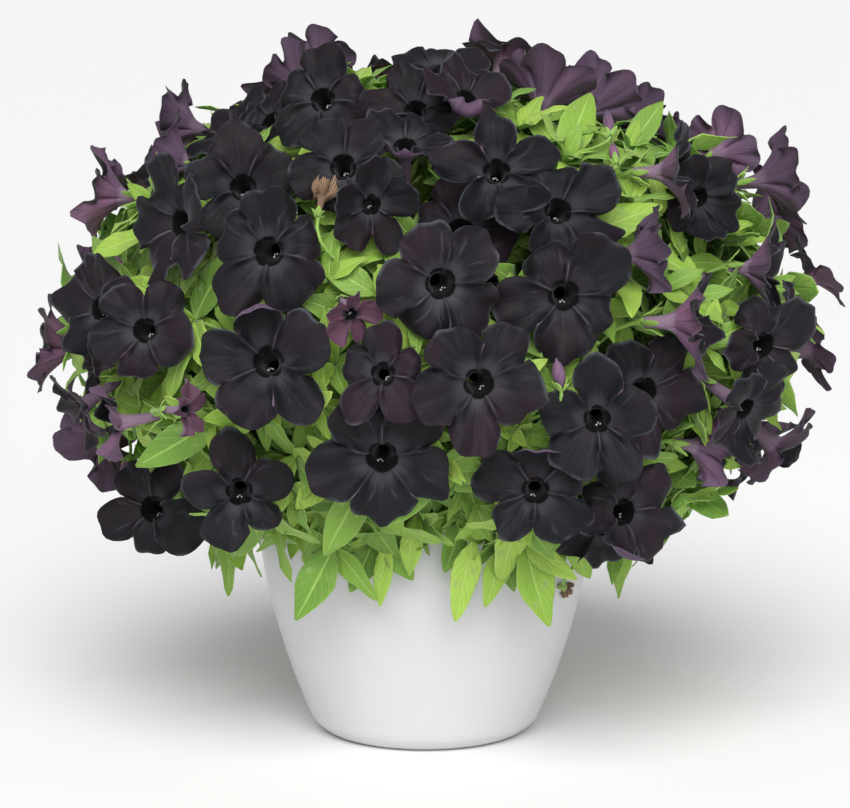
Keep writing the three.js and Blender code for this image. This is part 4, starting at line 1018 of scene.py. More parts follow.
# %% [markdown]
# The whole sheet runs out from the tube's foot over a shallow funnel to the rim. The tube is a
# curve that leaves its narrow foot along the axis and arrives on the sheet with the sheet's own
# slope, so there is no crease at the throat. The sheet gets its thickness along its own normals,
# which also works where a lobe is folded.

# %% The flower's sheet and its skin
def tube(flower, radius, out, ahead):
    """The tube in the same terms as the sheet: it leaves its foot along the axis and arrives on the
    sheet's first row with the sheet's slope (a cubic with given ends and slopes)."""
    t = TUBE_ROWS[:, None]
    leave, arrive = t * (1 - t) ** 2, -(t**2) * (1 - t) / 2
    start, end = (1 + 2 * t) * (1 - t) ** 2, t**2 * (3 - 2 * t)
    step = SHEET_ROWS[1] - SHEET_ROWS[0]
    slope_out, slope_ahead = (out[1] - out[0]) / step, (ahead[1] - ahead[0]) / step
    back = (flower["foot"] - flower["mouth"]) @ flower["facing"]
    tube_out = start * FOOT * flower["radius"] + leave * 0.02 * radius
    tube_ahead = start * back + leave * 0.9 * radius
    return (tube_out + arrive * slope_out + end * out[0],
            tube_ahead + arrive * slope_ahead + end * ahead[0])


def flower_sheet(flower):
    """The middle sheet, as points of shape (rows, columns, 3) from the tube's foot to the rim: each
    column runs out along the funnel's slope, then on an arc by its bend, with the relief on it."""
    radius = flower["radius"] * flower.get("size", 1)
    throat = THROAT * radius
    angle = np.radians(flower["roll"] + 72 * LOBE + TURN)
    angle = angle + 0.12 * waves(angle, (1, 2, 3), (0.6, 0.6, 0.5), flower["number"])
    full = (radius - throat) * lengths(flower, angle)
    trumpet = flower["reflex"] < TRUMPET
    deep, power = (0.58, 1.5) if trumpet else (0.14 + 0.16 * chance(flower["number"], 210), 2)
    s = SHEET_ROWS[:, None]
    free = np.clip((s - 0.4) / 0.6, 0, 1) ** 1.5
    flat, rest = full * np.minimum(s, FLAT), full * np.maximum(0, s - FLAT)
    bend = bends(flower, trumpet) * rest / full / (1 - FLAT)
    bend = np.where(np.abs(bend) < 1e-6, 1e-6, bend)
    out = throat + flat + rest * np.sin(bend) / bend
    ahead = -deep * radius * (1 - s) ** power + rest * (1 - np.cos(bend)) / bend
    ahead = ahead + radius * relief(flower, angle, s, free)
    tube_out, tube_ahead = tube(flower, radius, out, ahead)
    out, ahead = np.concatenate([tube_out, out]), np.concatenate([tube_ahead, ahead])
    wider = angle + np.radians(4.5) * (TURN / 36) ** 3 * free
    angle = np.concatenate([np.broadcast_to(angle, tube_out.shape), wider])
    points = flower["mouth"] + flower["facing"] * ahead[..., None]
    points = points + flower["upward"] * (out * np.cos(angle))[..., None]
    points = points + flower["leftward"] * (out * np.sin(angle))[..., None]
    shares = np.concatenate([-0.6 * (1 - TUBE_ROWS), SHEET_ROWS])
    return points, np.broadcast_to(OFF, out.shape), np.broadcast_to(shares[:, None], out.shape)


def flower_skin(flower):
    """The sheet with its thickness: up the inside, over the face, round the rim, down the back."""
    sheet, off, share = flower_sheet(flower)
    round_it = np.roll(sheet, -1, axis=1) - np.roll(sheet, 1, axis=1)
    normal = unit(np.cross(np.gradient(sheet, axis=0), round_it))
    half = PETAL_THICK / 2 * np.where(share > 0, 1 - 0.5 * np.clip(share, 0, 1) ** 3, 1)[..., None]
    rings = np.concatenate([sheet + normal * half, (sheet - normal * half)[::-1]])
    face = np.stack([off, share, np.zeros_like(share)], axis=-1)
    back = np.stack([off, share, np.ones_like(share)], axis=-1)[::-1]
    tone = flower.get("tone", chance(flower["number"], 50))
    return skins(rings[None], np.concatenate([face, back])[None], [tone])


one = flower_skin(flowers[0])
print("one flower:", len(one["quads"]), "quads and", len(one["triangles"]), "triangles")

# %% [markdown]
# Behind each flower five narrow green sepals clasp the tube's foot, and the stalk widens into them.
# In the throat sit the pale stigma and the stamens, which show as two or three light dots.

# %% Stalks, sepals and hearts of the flowers
SEPAL_ROWS = np.array([0.02, 0.2, 0.42, 0.64, 0.84, 0.98])
STALK_AT = np.linspace(0, 1, 12)
HEART = dict(dots=3, stigma=0.62, anther=0.48, depth=0.34)


def calyx_skins(group):
    """Five sepals for each flower of a group, spread by a fifth of a turn and opened a little."""
    sepals, seeds = [], []
    for flower in group:
        radius = flower["radius"]
        for k in range(5):
            uneven = 30 * (chance(flower["number"], 70 + k) - 0.5)
            turn = math.radians(flower["roll"] + 72 * k + uneven)
            spoke = turned(flower["upward"], flower["leftward"], turn)
            open_by = math.radians(12 + 34 * chance(flower["number"], 80 + k))
            direction = turned(flower["facing"], spoke, open_by)
            base = flower["foot"] + spoke * FOOT * radius - flower["facing"] * 1.5
            length = radius * (0.42 + 0.16 * chance(flower["number"], 90 + k))
            sepals.append(leaf_of(base, direction, flower["facing"], length, 1.7, 0.1))
            seeds.append(chance(flower["number"], 100 + k))
    return leaf_skins(sepals, [0.7] * len(sepals), seeds, rows=SEPAL_ROWS)


def stalk_of_flower(flower, handles):
    """The stalk's path, run on into a small cup round the tube's foot, and its radii."""
    path = on_bent(handles, STALK_AT)
    cup = flower["foot"] - flower["facing"] * np.array([[2.6], [1.0], [0.1]])
    foot = FOOT * flower["radius"]
    radii = np.concatenate([0.75 + 0.35 * STALK_AT[:-1] ** 3, [0.6 * foot, foot, foot + 0.25]])
    return np.concatenate([path[:-1], cup]), radii


def heart_skins(group):
    """Small round bodies in the throat: the stigma first, the stamens' ends round it."""
    centres, sizes = [], []
    for flower in group:
        for k in range(HEART["dots"]):
            turn = math.radians(140 + 80 * chance(flower["number"], 110) + 17 * k)
            aside = flower["radius"] * (0.085 if k == 1 else 0.11)
            spoke = turned(flower["upward"], flower["leftward"], turn)
            deeper = 0 if k == 0 else 0.05 * chance(flower["number"], 120 + k)
            depth = flower["radius"] * (HEART["depth"] + deeper)
            centres.append(flower["mouth"] - flower["facing"] * depth + spoke * aside)
            sizes.append(HEART["stigma"] if k == 0 else HEART["anther"])
    centres, sizes = np.array(centres), np.array(sizes)
    lie = np.linspace(0.12, 0.88, 5) * np.pi
    paths = centres[:, None] - UP * (sizes[:, None] * np.cos(lie))[..., None]
    return stalk_skins(paths, sizes[:, None] * np.sin(lie), sides=8)


print("sepals in all:", 5 * len(flowers))

# %% [markdown]
# Materials are networks of nodes. Written as sums and products they read like the formulas that
# they are, so a small class stands for a socket and turns +, - and * into Math nodes.

# %% Shader maths
class Field:
    """A socket's value in shader maths."""

    def __init__(self, finish, socket):
        self.finish, self.socket = finish, socket

    def maths(self, operation, *values):
        return self.finish.node("ShaderNodeMath", {"operation": operation}, dict(enumerate(values)))

    def __add__(self, other):
        return self.maths("ADD", self, other)

    def __sub__(self, other):
        return self.maths("SUBTRACT", self, other)

    def __rsub__(self, other):
        return self.maths("SUBTRACT", other, self)

    def __mul__(self, other):
        return self.maths("MULTIPLY", self, other)

    def __abs__(self):
        return self.maths("ABSOLUTE", self)

    __radd__, __rmul__ = __add__, __mul__

    def fraction(self):
        return self.maths("FRACT", self)

    def sine(self):
        return self.maths("SINE", self)

    def between(self, low, high):
        """0 below low, 1 above high and a soft step between; with low above high it falls."""
        settings = {"interpolation_type": "SMOOTHSTEP"}
        ends = (low, high, 0.0, 1.0) if low < high else (high, low, 1.0, 0.0)
        return self.finish.node("ShaderNodeMapRange", settings, dict(enumerate((self, *ends))))


print("shader maths: +, -, *, abs, fraction, sine and a soft step")

# %% [markdown]
# A finish is a material with its nodes. One method adds any kind of node: its type, its settings,
# then the values or links of its sockets. The others are what every finish here needs: reading what
# the skins carry, cloudy noise, mixing two colours, bumps, and the closing shader.

# %% A finish
class Finish:
    """A material and its nodes."""

    def __init__(self, name):
        self.material = bpy.data.materials.new(name)
        self.material.use_nodes = True
        self.tree = self.material.node_tree
        self.tree.nodes.clear()

    def node(self, kind, settings=None, sockets=None, out=0):
        node = self.tree.nodes.new(kind)
        for key, value in (settings or {}).items():
            if key == "stops":
                while len(node.color_ramp.elements) < len(value):
                    node.color_ramp.elements.new(0.5)
                for element, (position, colour) in zip(node.color_ramp.elements, value):
                    element.position, element.color = position, (*colour, 1)
            else:
                setattr(node, key, value)
        for key, value in (sockets or {}).items():
            if isinstance(value, Field):
                self.tree.links.new(value.socket, node.inputs[key])
            elif isinstance(value, tuple) and len(value) == 3 and node.inputs[key].type == "RGBA":
                node.inputs[key].default_value = (*value, 1)
            else:
                node.inputs[key].default_value = value
        return Field(self, node.outputs[out]) if node.outputs else None

    def place(self):
        """What the skins carry: share across, share along, and the side."""
        read = self.node("ShaderNodeAttribute", {"attribute_name": "place"}, out=1)
        split = self.node("ShaderNodeSeparateXYZ", None, {0: read})
        return [Field(self, output) for output in split.socket.node.outputs]

    def tone(self):
        return self.node("ShaderNodeAttribute", {"attribute_name": "tone"}, out=2)

    def noise(self, scale, detail=3.0, roughness=0.55, squeeze=None):
        """Cloudy noise on Object coordinates, whose scale counts per metre."""
        where = self.node("ShaderNodeTexCoord", out=3)
        if squeeze:
            where = self.node("ShaderNodeMapping", None, {0: where, "Scale": squeeze})
        sockets = {"Vector": where, "Scale": scale, "Detail": detail, "Roughness": roughness}
        return self.node("ShaderNodeTexNoise", None, sockets)

    def mixed(self, share, first, second):
        """The first colour where share is 0 and the second where it is 1."""
        sockets = {0: share, 6: first, 7: second}
        return self.node("ShaderNodeMix", {"data_type": "RGBA"}, sockets, out=2)

    def layered(self, colour, *layers):
        """The colour with others laid over it one after the other, each by its share."""
        for share, upper in layers:
            colour = self.mixed(share, colour, upper)
        return colour

    def bump(self, height, depth, strength=1.0):
        """A normal from a height whose full range is depth metres."""
        sockets = {"Strength": strength, "Distance": depth, "Height": height}
        return self.node("ShaderNodeBump", None, sockets)

    def surface(self, **sockets):
        """The closing shader; its sockets by name, with _ for a space."""
        names = {key.replace("_", " "): value for key, value in sockets.items()}
        shader = self.node("ShaderNodeBsdfPrincipled", None, names)
        self.node("ShaderNodeOutputMaterial", None, {"Surface": shader})
        return self.material


print("finishes may use:", [name for name in vars(Finish) if not name.startswith("_")])

# %% [markdown]
# The petals are velvet: very dark, almost without gloss, with a faint light at grazing angles,
# which is what sheen is for. Their face is black with a breath of purple-brown. Pale grey is
# painted on it as highlight along the raised seams, in a few creases and at parts of the thin edge,
# and as sheen round the throat, and the inside of the tube is painted near-black as shade. Their
# back is mauve, with darker ribs and a painted highlight at parts of the edge. Fading flowers are
# browner and spent ones are dry. The paint reads how far a point lies from the middle of its lobe,
# how far out it is, which side it is on, and the flower's tone: up to 1 for fresh flowers, 1.5 for
# fading ones and buds, 2.6 for dry ones.

# %% Petals
def petal_face(finish, cloud, streak, edge):
    """The inside: black, with purple-brown clouds, painted highlight on the seams, creases and
    edge, painted sheen round the throat and painted shade down the tube.
    """
    off, share, _ = finish.place()
    tone = finish.tone()
    patch = cloud.between(0.38, 0.62)
    near = share.between(0.95, 0.1)
    # Painted highlight: pale grey along the raised seams where two lobes meet.
    seam_highlight = off.between(0.93, 1.0) * (patch * 0.8 + 0.2) * near
    # Painted sheen: a pale grey haze round the throat.
    throat_sheen = share.between(0.0, 0.05) * share.between(0.42, 0.05) * (1 - patch * 0.8)
    # Painted highlight: pale grey lines in a few creases.
    crease_highlight = abs(off - cloud * 1.3 + 0.15).between(0.09, 0.0) * share.between(0.1, 0.35)
    crease_highlight = crease_highlight * share.between(0.95, 0.6) * finish.noise(48.0).between(0.5, 0.66)
    warm = tone.between(0.6, 1.0) * cloud.between(0.35, 0.6)
    black, brown = (0.0054, 0.0060, 0.0082), (0.0120, 0.0064, 0.0105)
    return finish.layered(
        finish.mixed(cloud.between(0.42, 0.68), black, brown),
        (streak * 0.04, (0.011, 0.010, 0.014)),
        (warm * 0.6, (0.019, 0.008, 0.015)),
        (seam_highlight * 0.85, (0.115, 0.112, 0.128)),
        (crease_highlight * 0.4, (0.060, 0.058, 0.070)),
        (throat_sheen * 0.6, (0.070, 0.066, 0.078)),
        (off.between(0.07, 0.0) * near * 0.3, (0.025, 0.021, 0.028)),
        # Painted shade: the inside of the tube is near-black.
        (share.between(0.085, -0.03), (0.0008, 0.0007, 0.001)),
        # Painted highlight: a pale grey band at parts of the thin edge.
        (edge * 0.7, (0.075, 0.083, 0.098)),
        (tone.between(1.2, 1.4) * share.between(0.1, 0.3), (0.095, 0.042, 0.070)),
    )


def petal_back(finish, cloud, veins, edge):
    """The outside: mauve, darker along its ribs and veins, paler down the tube, with a painted
    highlight at parts of the edge.
    """
    off, share, _ = finish.place()
    tone = finish.tone()
    return finish.layered(
        finish.mixed(cloud.between(0.35, 0.7), (0.140, 0.085, 0.145), (0.225, 0.108, 0.188)),
        (veins * 0.5, (0.070, 0.038, 0.078)),
        (off.between(0.07, 0.0) * 0.7, (0.066, 0.038, 0.074)),
        (share.between(0.45, 0.95) * 0.5, (0.110, 0.078, 0.130)),
        (share.between(0.12, -0.15) * 0.75, (0.270, 0.190, 0.255)),
        # Painted highlight: a paler band at parts of the edge.
        (edge * 0.4, (0.120, 0.100, 0.140)),
        (tone.between(0.35, 1.0) * tone.between(1.3, 1.1) * 0.65, (0.060, 0.040, 0.066)),
    )


def petal_finish():
    finish = Finish("petals")
    off, share, side = finish.place()
    cloud = finish.noise(34.0)
    grain = finish.noise(420.0, detail=2.0)
    streak = ((off * 6.0 + share * 1.3 + cloud * 1.2) * 6.283).sine() * 0.5 + 0.5
    veins = abs((off * 4.5 - share * 1.6).fraction() - 0.5).between(0.1, 0.0)
    veins = veins * share.between(0.0, 0.3)
    # Where the rim highlight is painted: parts of the thin edge, on face and back.
    edge = share.between(0.90, 1.0) * finish.noise(60.0).between(0.45, 0.65)
    face, back = petal_face(finish, cloud, streak, edge), petal_back(finish, cloud, veins, edge)
    colour = finish.mixed(side.between(0.3, 0.7), face, back)
    dry = finish.mixed(streak, (0.110, 0.060, 0.035), (0.290, 0.190, 0.125))
    height = streak * 0.08 + grain * 0.2 + veins * 0.08 + finish.noise(70.0) * 1.1
    return finish.surface(
        Base_Color=finish.mixed(finish.tone().between(2.1, 2.4), colour, dry),
        Roughness=grain * 0.2 + 0.56 + share.between(0.02, -0.02) * 0.3, Specular_IOR_Level=0.2,
        Sheen_Weight=0.2, Sheen_Roughness=0.3, Sheen_Tint=(0.62, 0.60, 0.70, 1.0),
        Normal=finish.bump(height, 0.0012, 0.6),
    )


PETALS = petal_finish()
print("nodes of the petals' finish:", len(PETALS.node_tree.nodes))

# %% [markdown]
# The leaves are lime green and soft. Light passes through them, which a little scattering under the
# surface gives. Every leaf has its own tone, which is painted darker deeper inside the plant as
# shade, its midrib and side veins are paler, the underside is duller, and the margin catches light
# in its short hairs. Stalks share the colours without veins.

# %% Leaves and stalks
def leaf_finish():
    finish = Finish("leaves")
    across, along, upper = finish.place()
    tone = finish.tone()
    cloud = finish.noise(26.0)
    fine = finish.noise(330.0, detail=2.0)
    midrib = across.between(0.13, 0.02)
    side = abs((along * 7.0 - across * 2.2).fraction() - 0.5).between(0.14, 0.02)
    side = side * across.between(0.0, 0.15)
    blade = finish.node("ShaderNodeValToRGB", {"stops": (
        (0.0, (0.070, 0.150, 0.028)), (0.3, (0.135, 0.265, 0.036)), (0.65, (0.250, 0.420, 0.050)),
        (1.0, (0.400, 0.580, 0.095)),
    )}, {0: tone * 0.8 + cloud * 0.34 - 0.06})
    blade = finish.layered(
        blade,
        ((1 - upper) * 0.45, (0.235, 0.400, 0.110)),
        (midrib * 0.55, (0.420, 0.620, 0.160)),
        (side * 0.28, (0.330, 0.540, 0.110)),
        (across.between(0.9, 1.0) * 0.35, (0.430, 0.620, 0.220)),
    )
    height = 0.6 - side * 0.5 - midrib * 0.8 + fine * 0.25 + cloud * 0.5
    return finish.surface(
        Base_Color=blade, Roughness=fine * 0.16 + 0.46, Specular_IOR_Level=0.35,
        Sheen_Weight=0.12, Sheen_Roughness=0.4, Subsurface_Weight=0.22,
        Subsurface_Radius=(0.5, 1.0, 0.2), Subsurface_Scale=0.003,
        Normal=finish.bump(height, 0.0009, 0.6),
    )


def stalk_finish():
    finish = Finish("stalks")
    cloud = finish.noise(40.0)
    hairs = finish.noise(1500.0, detail=1.0)
    green = finish.mixed(cloud, (0.150, 0.310, 0.045), (0.290, 0.470, 0.090))
    green = finish.mixed(hairs.between(0.55, 0.75) * 0.5, green, (0.480, 0.640, 0.280))
    return finish.surface(
        Base_Color=green, Roughness=0.55, Specular_IOR_Level=0.3, Sheen_Weight=0.35,
        Sheen_Roughness=0.3, Subsurface_Weight=0.15, Subsurface_Radius=(0.5, 1.0, 0.2),
        Subsurface_Scale=0.002, Normal=finish.bump(hairs, 0.0004, 0.7),
    )


def heart_finish():
    finish = Finish("hearts")
    pale = finish.mixed(finish.noise(900.0), (0.16, 0.20, 0.17), (0.36, 0.42, 0.40))
    return finish.surface(Base_Color=pale, Roughness=0.45, Specular_IOR_Level=0.4)


LEAVES, STALKS, HEARTS = leaf_finish(), stalk_finish(), heart_finish()
print("materials:", [m.name for m in (PETALS, LEAVES, STALKS, HEARTS)])

# %% [markdown]
# Now the flowers are built, spray by spray, because the coarse model has one solid for each spray.
# Petals and green parts are separate pieces, as each piece has one finish.

# %% The flower sprays
def finished(piece, material, slot_name, *nodes):
    """Gives a piece its material and its place on the plant, and hides the coarse solids that it
    stands for.
    """
    piece.data.materials.append(material)
    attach(piece, "root")
    if nodes:
        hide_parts(*nodes)


def bract_skins(spray):
    """Two leaves at the fork of a spray and one on each stalk, wherever they have room."""
    leaves, tones, seeds = [], [], []
    item = 3000 + spray["flowers"][0]["number"]
    places = [(spray["trunk"], 0.98), (spray["trunk"], 0.9)] + [(s, 0.35) for s in spray["stalks"]]
    for k, (handles, share) in enumerate(places):
        point, beyond = on_bent(handles, [share, share + 0.02])
        heading = unit(beyond - point)
        first, second = around(heading)
        length = 26 + 12 * chance(item, 10 + k)
        turns = [2 * math.pi * (chance(item, k) + attempt / 6) for attempt in range(6)]
        directions = [unit(turned(first, second, turn) + heading * 0.9) for turn in turns]
        tries = [leaf_of(point, way, heading, length, 0.21 * length, 0.15) for way in directions]
        for leaf in first_clear(tries, 1.5):
            leaves.append(leaf)
            tones.append(0.35 + 0.65 * chance(item, 20 + k))
            seeds.append(chance(item, 30 + k))
    return leaves, tones, seeds


faces = 0
for n, spray in enumerate(sprays, 1):
    node = f"flower_spray_{n:02d}"
    petals = made_of(f"petals_{n:02d}", [flower_skin(f) for f in spray["flowers"]])
    finished(petals, PETALS, "petals", node)
    paths, radii = zip(*(stalk_of_flower(f, h) for f, h in zip(spray["flowers"], spray["stalks"])))
    onward = spray["joint"] - spray["point"]
    low = spray["joint"] - unit(onward) * (np.linalg.norm(onward) - 1)
    trunk = np.concatenate([[low], on_bent(spray["trunk"], STALK_AT)])
    green = made_of(f"stalks_{n:02d}", [
        stalk_skins(paths, radii), stalk_skins(trunk[None], np.linspace(1.5, 1.1, 13)[None]),
    ])
    finished(green, STALKS, "leafy", node)
    leaves, tones, seeds = bract_skins(spray)
    parts = [calyx_skins(spray["flowers"])] + ([leaf_skins(leaves, tones, seeds)] if leaves else [])
    bracts = made_of(f"sepals_{n:02d}", parts)
    finished(bracts, LEAVES, "leafy", node)
    faces += len(petals.data.polygons) + len(green.data.polygons) + len(bracts.data.polygons)
hearts = made_of("hearts", [heart_skins(flowers)])
finished(hearts, HEARTS, "petals")
print("faces of the sprays:", faces)

# %% [markdown]
# The leafy stems come next: each main stem, its branches and all its leaves. Beside the leaves of
# the coarse model every branch carries a few more along its length and small young ones at its end,
# because a petunia shoot is leafy all along.

# %% The leafy stems
BRANCH_AT = np.linspace(0, 1, 10)
STEM_AT = np.linspace(0, 1, 30)


def more_leaves(tuft):
    """Leaves along the branch, each turned by the golden angle from the last, and young ones."""
    made = []
    number = 5000 + tuft["number"]
    young = 0 if tuft.get("hanging") else 4
    spots = [(0.4 + 0.5 * k / 5, 24 + 14 * chance(number, k), 0.95) for k in range(6)]
    spots += [(1.0, 13 + 9 * chance(number, 20 + k), 0.45) for k in range(young)]
    for k, (share, length, open_by) in enumerate(spots):
        point, before = on_bent(tuft["path"], [share, share - 0.04])
        heading = unit(point - before)
        first, second = around(heading)
        droop = 0.12 + 0.2 * chance(number, 50 + k)
        start = GOLDEN * k + 2 * math.pi * chance(number, 40)
        turns = [start + 1.3 * attempt for attempt in range(5)]
        directions = [unit(turned(heading, turned(first, second, turn), open_by)) for turn in turns]
        tries = [leaf_of(point, way, heading, length, 0.19 * length, droop) for way in directions]
        made += first_clear(tries, 2)
    return made


first_tuft = next(tuft for stem in stems for tuft in stem["tufts"])
print("more leaves on the first tuft:", len(more_leaves(first_tuft)))

# %% [markdown]
# Between the tufts there are still gaps, where a real plant pushes out small side shoots. They
# start from the nearest point of a branch or a stem and carry four leaves, and each leaf is kept
# only where it is clear of the flowers. More of them bend over the pot's rim, all round.

# %% Side shoots
SHOOT = dict(tries=900, rim=44, apart=15, leaves=4, length=30, reach=75)
TWIG_AT = np.linspace(0, 1, 6)
for stem in stems:
    lines = [through(stem["points"], np.linspace(0.35, 1, 12))]
    lines += [on_bent(t["path"], np.linspace(0.1, 1, 8)) for t in stem["tufts"]]
    stem["nodes"] = np.concatenate(lines)
    stem["shoots"] = []
ALL_NODES = np.concatenate([s["nodes"] for s in stems])
NODE_STEM = np.concatenate([np.full(len(s["nodes"]), n) for n, s in enumerate(stems)])


def grow_shoot(hub, axis, number, length, lean, clear):
    """A twig from the nearest branch to the hub, with leaves round its end that have room."""
    at, gap = nearest(ALL_NODES, hub)
    if gap > SHOOT["reach"]:
        return False
    start = ALL_NODES[at]
    path = bent(start, unit(hub - start + axis * 6), hub, axis, 0.35)
    if any(in_flower(p, 0.5) for p in on_bent(path, TWIG_AT[1:])):
        return False
    side, top = around(axis)
    leaves = []
    for k in range(SHOOT["leaves"]):
        outward = turned(side, top, GOLDEN * k + 2 * math.pi * chance(number, 1))
        long = length * (0.75 + 0.5 * chance(number, 10 + k))
        half = long * (0.165 + 0.07 * chance(number, 20 + k))
        droop = 0.1 + 0.25 * chance(number, 30 + k)
        tries = [(unit(turned(axis, outward, lean * more)), size)
                 for more, size in ((1, 1), (0.6, 0.9), (1.25, 0.8))]
        leaves += first_clear([leaf_of(hub, direction, axis, long * size, half * size, droop)
                               for direction, size in tries], clear)
    if leaves:
        stems[NODE_STEM[at]]["shoots"].append(dict(path=path, leaves=leaves))
    return bool(leaves)


def grow_shoots():
    """Side shoots on evenly spread directions, and a ring of them over the rim."""
    hubs = [t["hub"] for s in stems for t in s["tufts"]]
    grown = 0
    for i in range(SHOOT["tries"]):
        direction = even_direction(i, SHOOT["tries"], -0.8, 0.99)
        point, normal = dome_point(direction, 0.68 + 0.21 * chance(i, 170))
        tilt = chances(i, 171, 3) - 0.5
        if in_flower(point, 1) or nearest(hubs, point)[1] < SHOOT["apart"]:
            continue
        if grow_shoot(point, unit(normal + 0.9 * tilt), 7000 + i, SHOOT["length"], 0.95, 1.2):
            hubs.append(point)
            grown += 1
    for i in range(SHOOT["rim"]):
        turn = math.radians(360 / SHOOT["rim"] * (i + 0.7 * chance(i, 180)))
        outward = bearing(turn)
        hub = outward * (88 + 16 * chance(i, 181)) + UP * (124 + 16 * chance(i, 182))
        fall = unit(outward - UP * (0.25 + 0.8 * chance(i, 183)))
        grown += grow_shoot(hub, fall, 8000 + i, SHOOT["length"], 0.8, 1.0)
    return grown


print("side shoots:", grow_shoots())

# %% [markdown]
# A plant in flower also has what comes before and after: closed buds, and spent flowers that hang
# crumpled and brown. Some show in the view and are given by their base and their tip there. The
# others are spread all round by rule. Each gets its sepals and a stalk from the nearest branch.

# %% Buds and spent flowers
SEEN_BUDS = (
    dict(base=(561, 388), tip=(556, 358), wide=6.5, back=6, spent=False),
    dict(base=(610, 136), tip=(607, 110), wide=5.5, back=0, spent=False),
    dict(base=(616, 164), tip=(612, 142), wide=5.0, back=2, spent=False),
    dict(base=(316, 224), tip=(323, 194), wide=21, back=4, spent=True),
    dict(base=(552, 560), tip=(565, 590), wide=15, back=14, spent=True),
)
OTHER_BUDS = 60
BUD_AT = np.linspace(0, 1, 12)


def bud_parts(base, tip, wide, spent, number):
    """The coloured skin of a bud, a spindle, or of a spent flower, and its sepals and stalk."""
    axis = unit(tip - base)
    first, second = around(axis)
    seen = dict(foot=base, mouth=tip, facing=axis, upward=first, leftward=second, number=number,
                radius=wide / 2 if spent else 13.0, roll=72 * chance(number, 1))
    if spent:
        curled = 40 + 60 * chances(number, 2)
        seen.update(reflex=0, pointed=1.2, tone=2.6, crumple=3.2, lobes=np.radians(curled),
                    longer=np.linspace(-0.3, 0.2, 5), notches=np.full(5, 0.45))
        seen["foot"] = tip - axis * TUBE * seen["radius"]
        skin = flower_skin(seen)
    else:
        path = base + (tip - base) * BUD_AT[:, None]
        thick = 0.25 + 0.75 * np.sin(np.pi * np.clip(BUD_AT * 0.85 + 0.1, 0, 1)) ** 1.5
        thick = wide / 2 * thick * np.where(BUD_AT > 0.9, 0.5, 1)
        skin = stalk_skins(path[None], thick[None], sides=10, tone=1.5)
        skin["places"][..., 2] = 1
    start = ALL_NODES[nearest(ALL_NODES, seen["foot"])[0]]
    stalk = bent(start, unit(seen["foot"] - start + UP * 6), seen["foot"], axis, 0.35)
    shaft = stalk_skins(on_bent(stalk, BUD_AT)[None], np.full((1, len(BUD_AT)), 0.85))
    return skin, calyx_skins([seen]), shaft


def grow_buds():
    """The parts of all buds, as three lists: coloured skins, sepals, stalks."""
    parts = []
    for i, seen in enumerate(SEEN_BUDS):
        (base, ray), (tip, _) = on_dome(*seen["base"]), on_dome(*seen["tip"])
        shift = ray * seen["back"]
        parts.append(bud_parts(base + shift, tip + shift, seen["wide"], seen["spent"], 900 + i))
    for i in range(OTHER_BUDS):
        direction = even_direction(i, OTHER_BUDS, -0.5, 0.95)
        point, normal = dome_point(direction, 0.86 + 0.08 * chance(i, 200))
        axis = unit(normal + 1.2 * (chances(i, 201, 3) - 0.5))
        tip = point + axis * (12 + 8 * chance(i, 205))
        faces_view = normal @ FORWARD < -0.5
        if faces_view or chance(i, 206) < 0.35 or in_flower(point, 3) or in_flower(tip, 3):
            continue
        parts.append(bud_parts(point, tip, 4.5 + 2 * chance(i, 207), False, 930 + i))
    return [list(kind) for kind in zip(*parts)]


colours, cups, shafts = grow_buds()
finished(made_of("buds", colours), PETALS, "petals")
finished(made_of("bud_sepals", cups), LEAVES, "leafy")
finished(made_of("bud_stalks", shafts), STALKS, "leafy")
print("buds and spent flowers:", len(colours))

# %% [markdown]
# All of that becomes two pieces for each leafy stem: what is round, and the leaves.

# %% Stems, branches and leaves
SLIM = 0.8  # the coarse leaves are a little wide, so that they are sturdy
count = 0


def tapering(paths, first, last, sides):
    """Round skins along paths with as many points each, ever thinner from first to last."""
    radii = np.linspace(first, last, len(paths[0]))
    return stalk_skins(np.array(paths), np.tile(radii, (len(paths), 1)), sides=sides)


for n, stem in enumerate(stems, 1):
    node = f"leafy_stem_{n:02d}"
    wood = [tapering([through(stem["points"], STEM_AT)], STEM["root"], STEM["tip"], 8)]
    if stem["tufts"]:
        wood.append(tapering([on_bent(t["path"], BRANCH_AT) for t in stem["tufts"]], 1.3, 0.9, 8))
    if stem["shoots"]:
        wood.append(tapering([on_bent(t["path"], TWIG_AT) for t in stem["shoots"]], 1.0, 0.7, 6))
    finished(made_of(f"stems_{n:02d}", wood), STALKS, "leafy", node)
    own = [dict(leaf, half=leaf["half"] * (1 if t.get("hanging") else SLIM))
           for t in stem["tufts"] for leaf in t["leaves"]]
    extra = [leaf for t in stem["tufts"] for leaf in more_leaves(t)]
    leaves = own + extra + [leaf for t in stem["shoots"] for leaf in t["leaves"]]
    if leaves:
        bases = np.array([leaf["base"] for leaf in leaves])
        # Painted shade: leaves whose base lies deeper inside the dome get a darker tone.
        depth_shade = np.clip(dome_measure(bases) / 0.5 - 0.8, 0.3, 1)  # the inner leaves are darker
        tones = [depth_shade[k] * (0.2 + 0.8 * chance(n * 100 + k, 130)) for k in range(len(leaves))]
        seeds = [chance(n * 100 + k, 131) for k in range(len(leaves))]
        blades = made_of(f"leaves_{n:02d}", [leaf_skins(leaves, tones, seeds)])
        finished(blades, LEAVES, "leafy", node)
        count += len(leaves)
print("leaves on the stems:", count)

# %% [markdown]
# The pot is thin moulded plastic: one profile carried round, up the outside, over the rolled rim
# and down the inside. From a rounded foot the outside flares, less and less towards the rim.

# %% Pot
POT = dict(height=125.0, foot=50.0, corner=7.0, rounding=7.5, flare=27.0, slope=5.5, wall=2.6,
           floor=3.4, lip=7.0)
POT_COLUMNS = 160


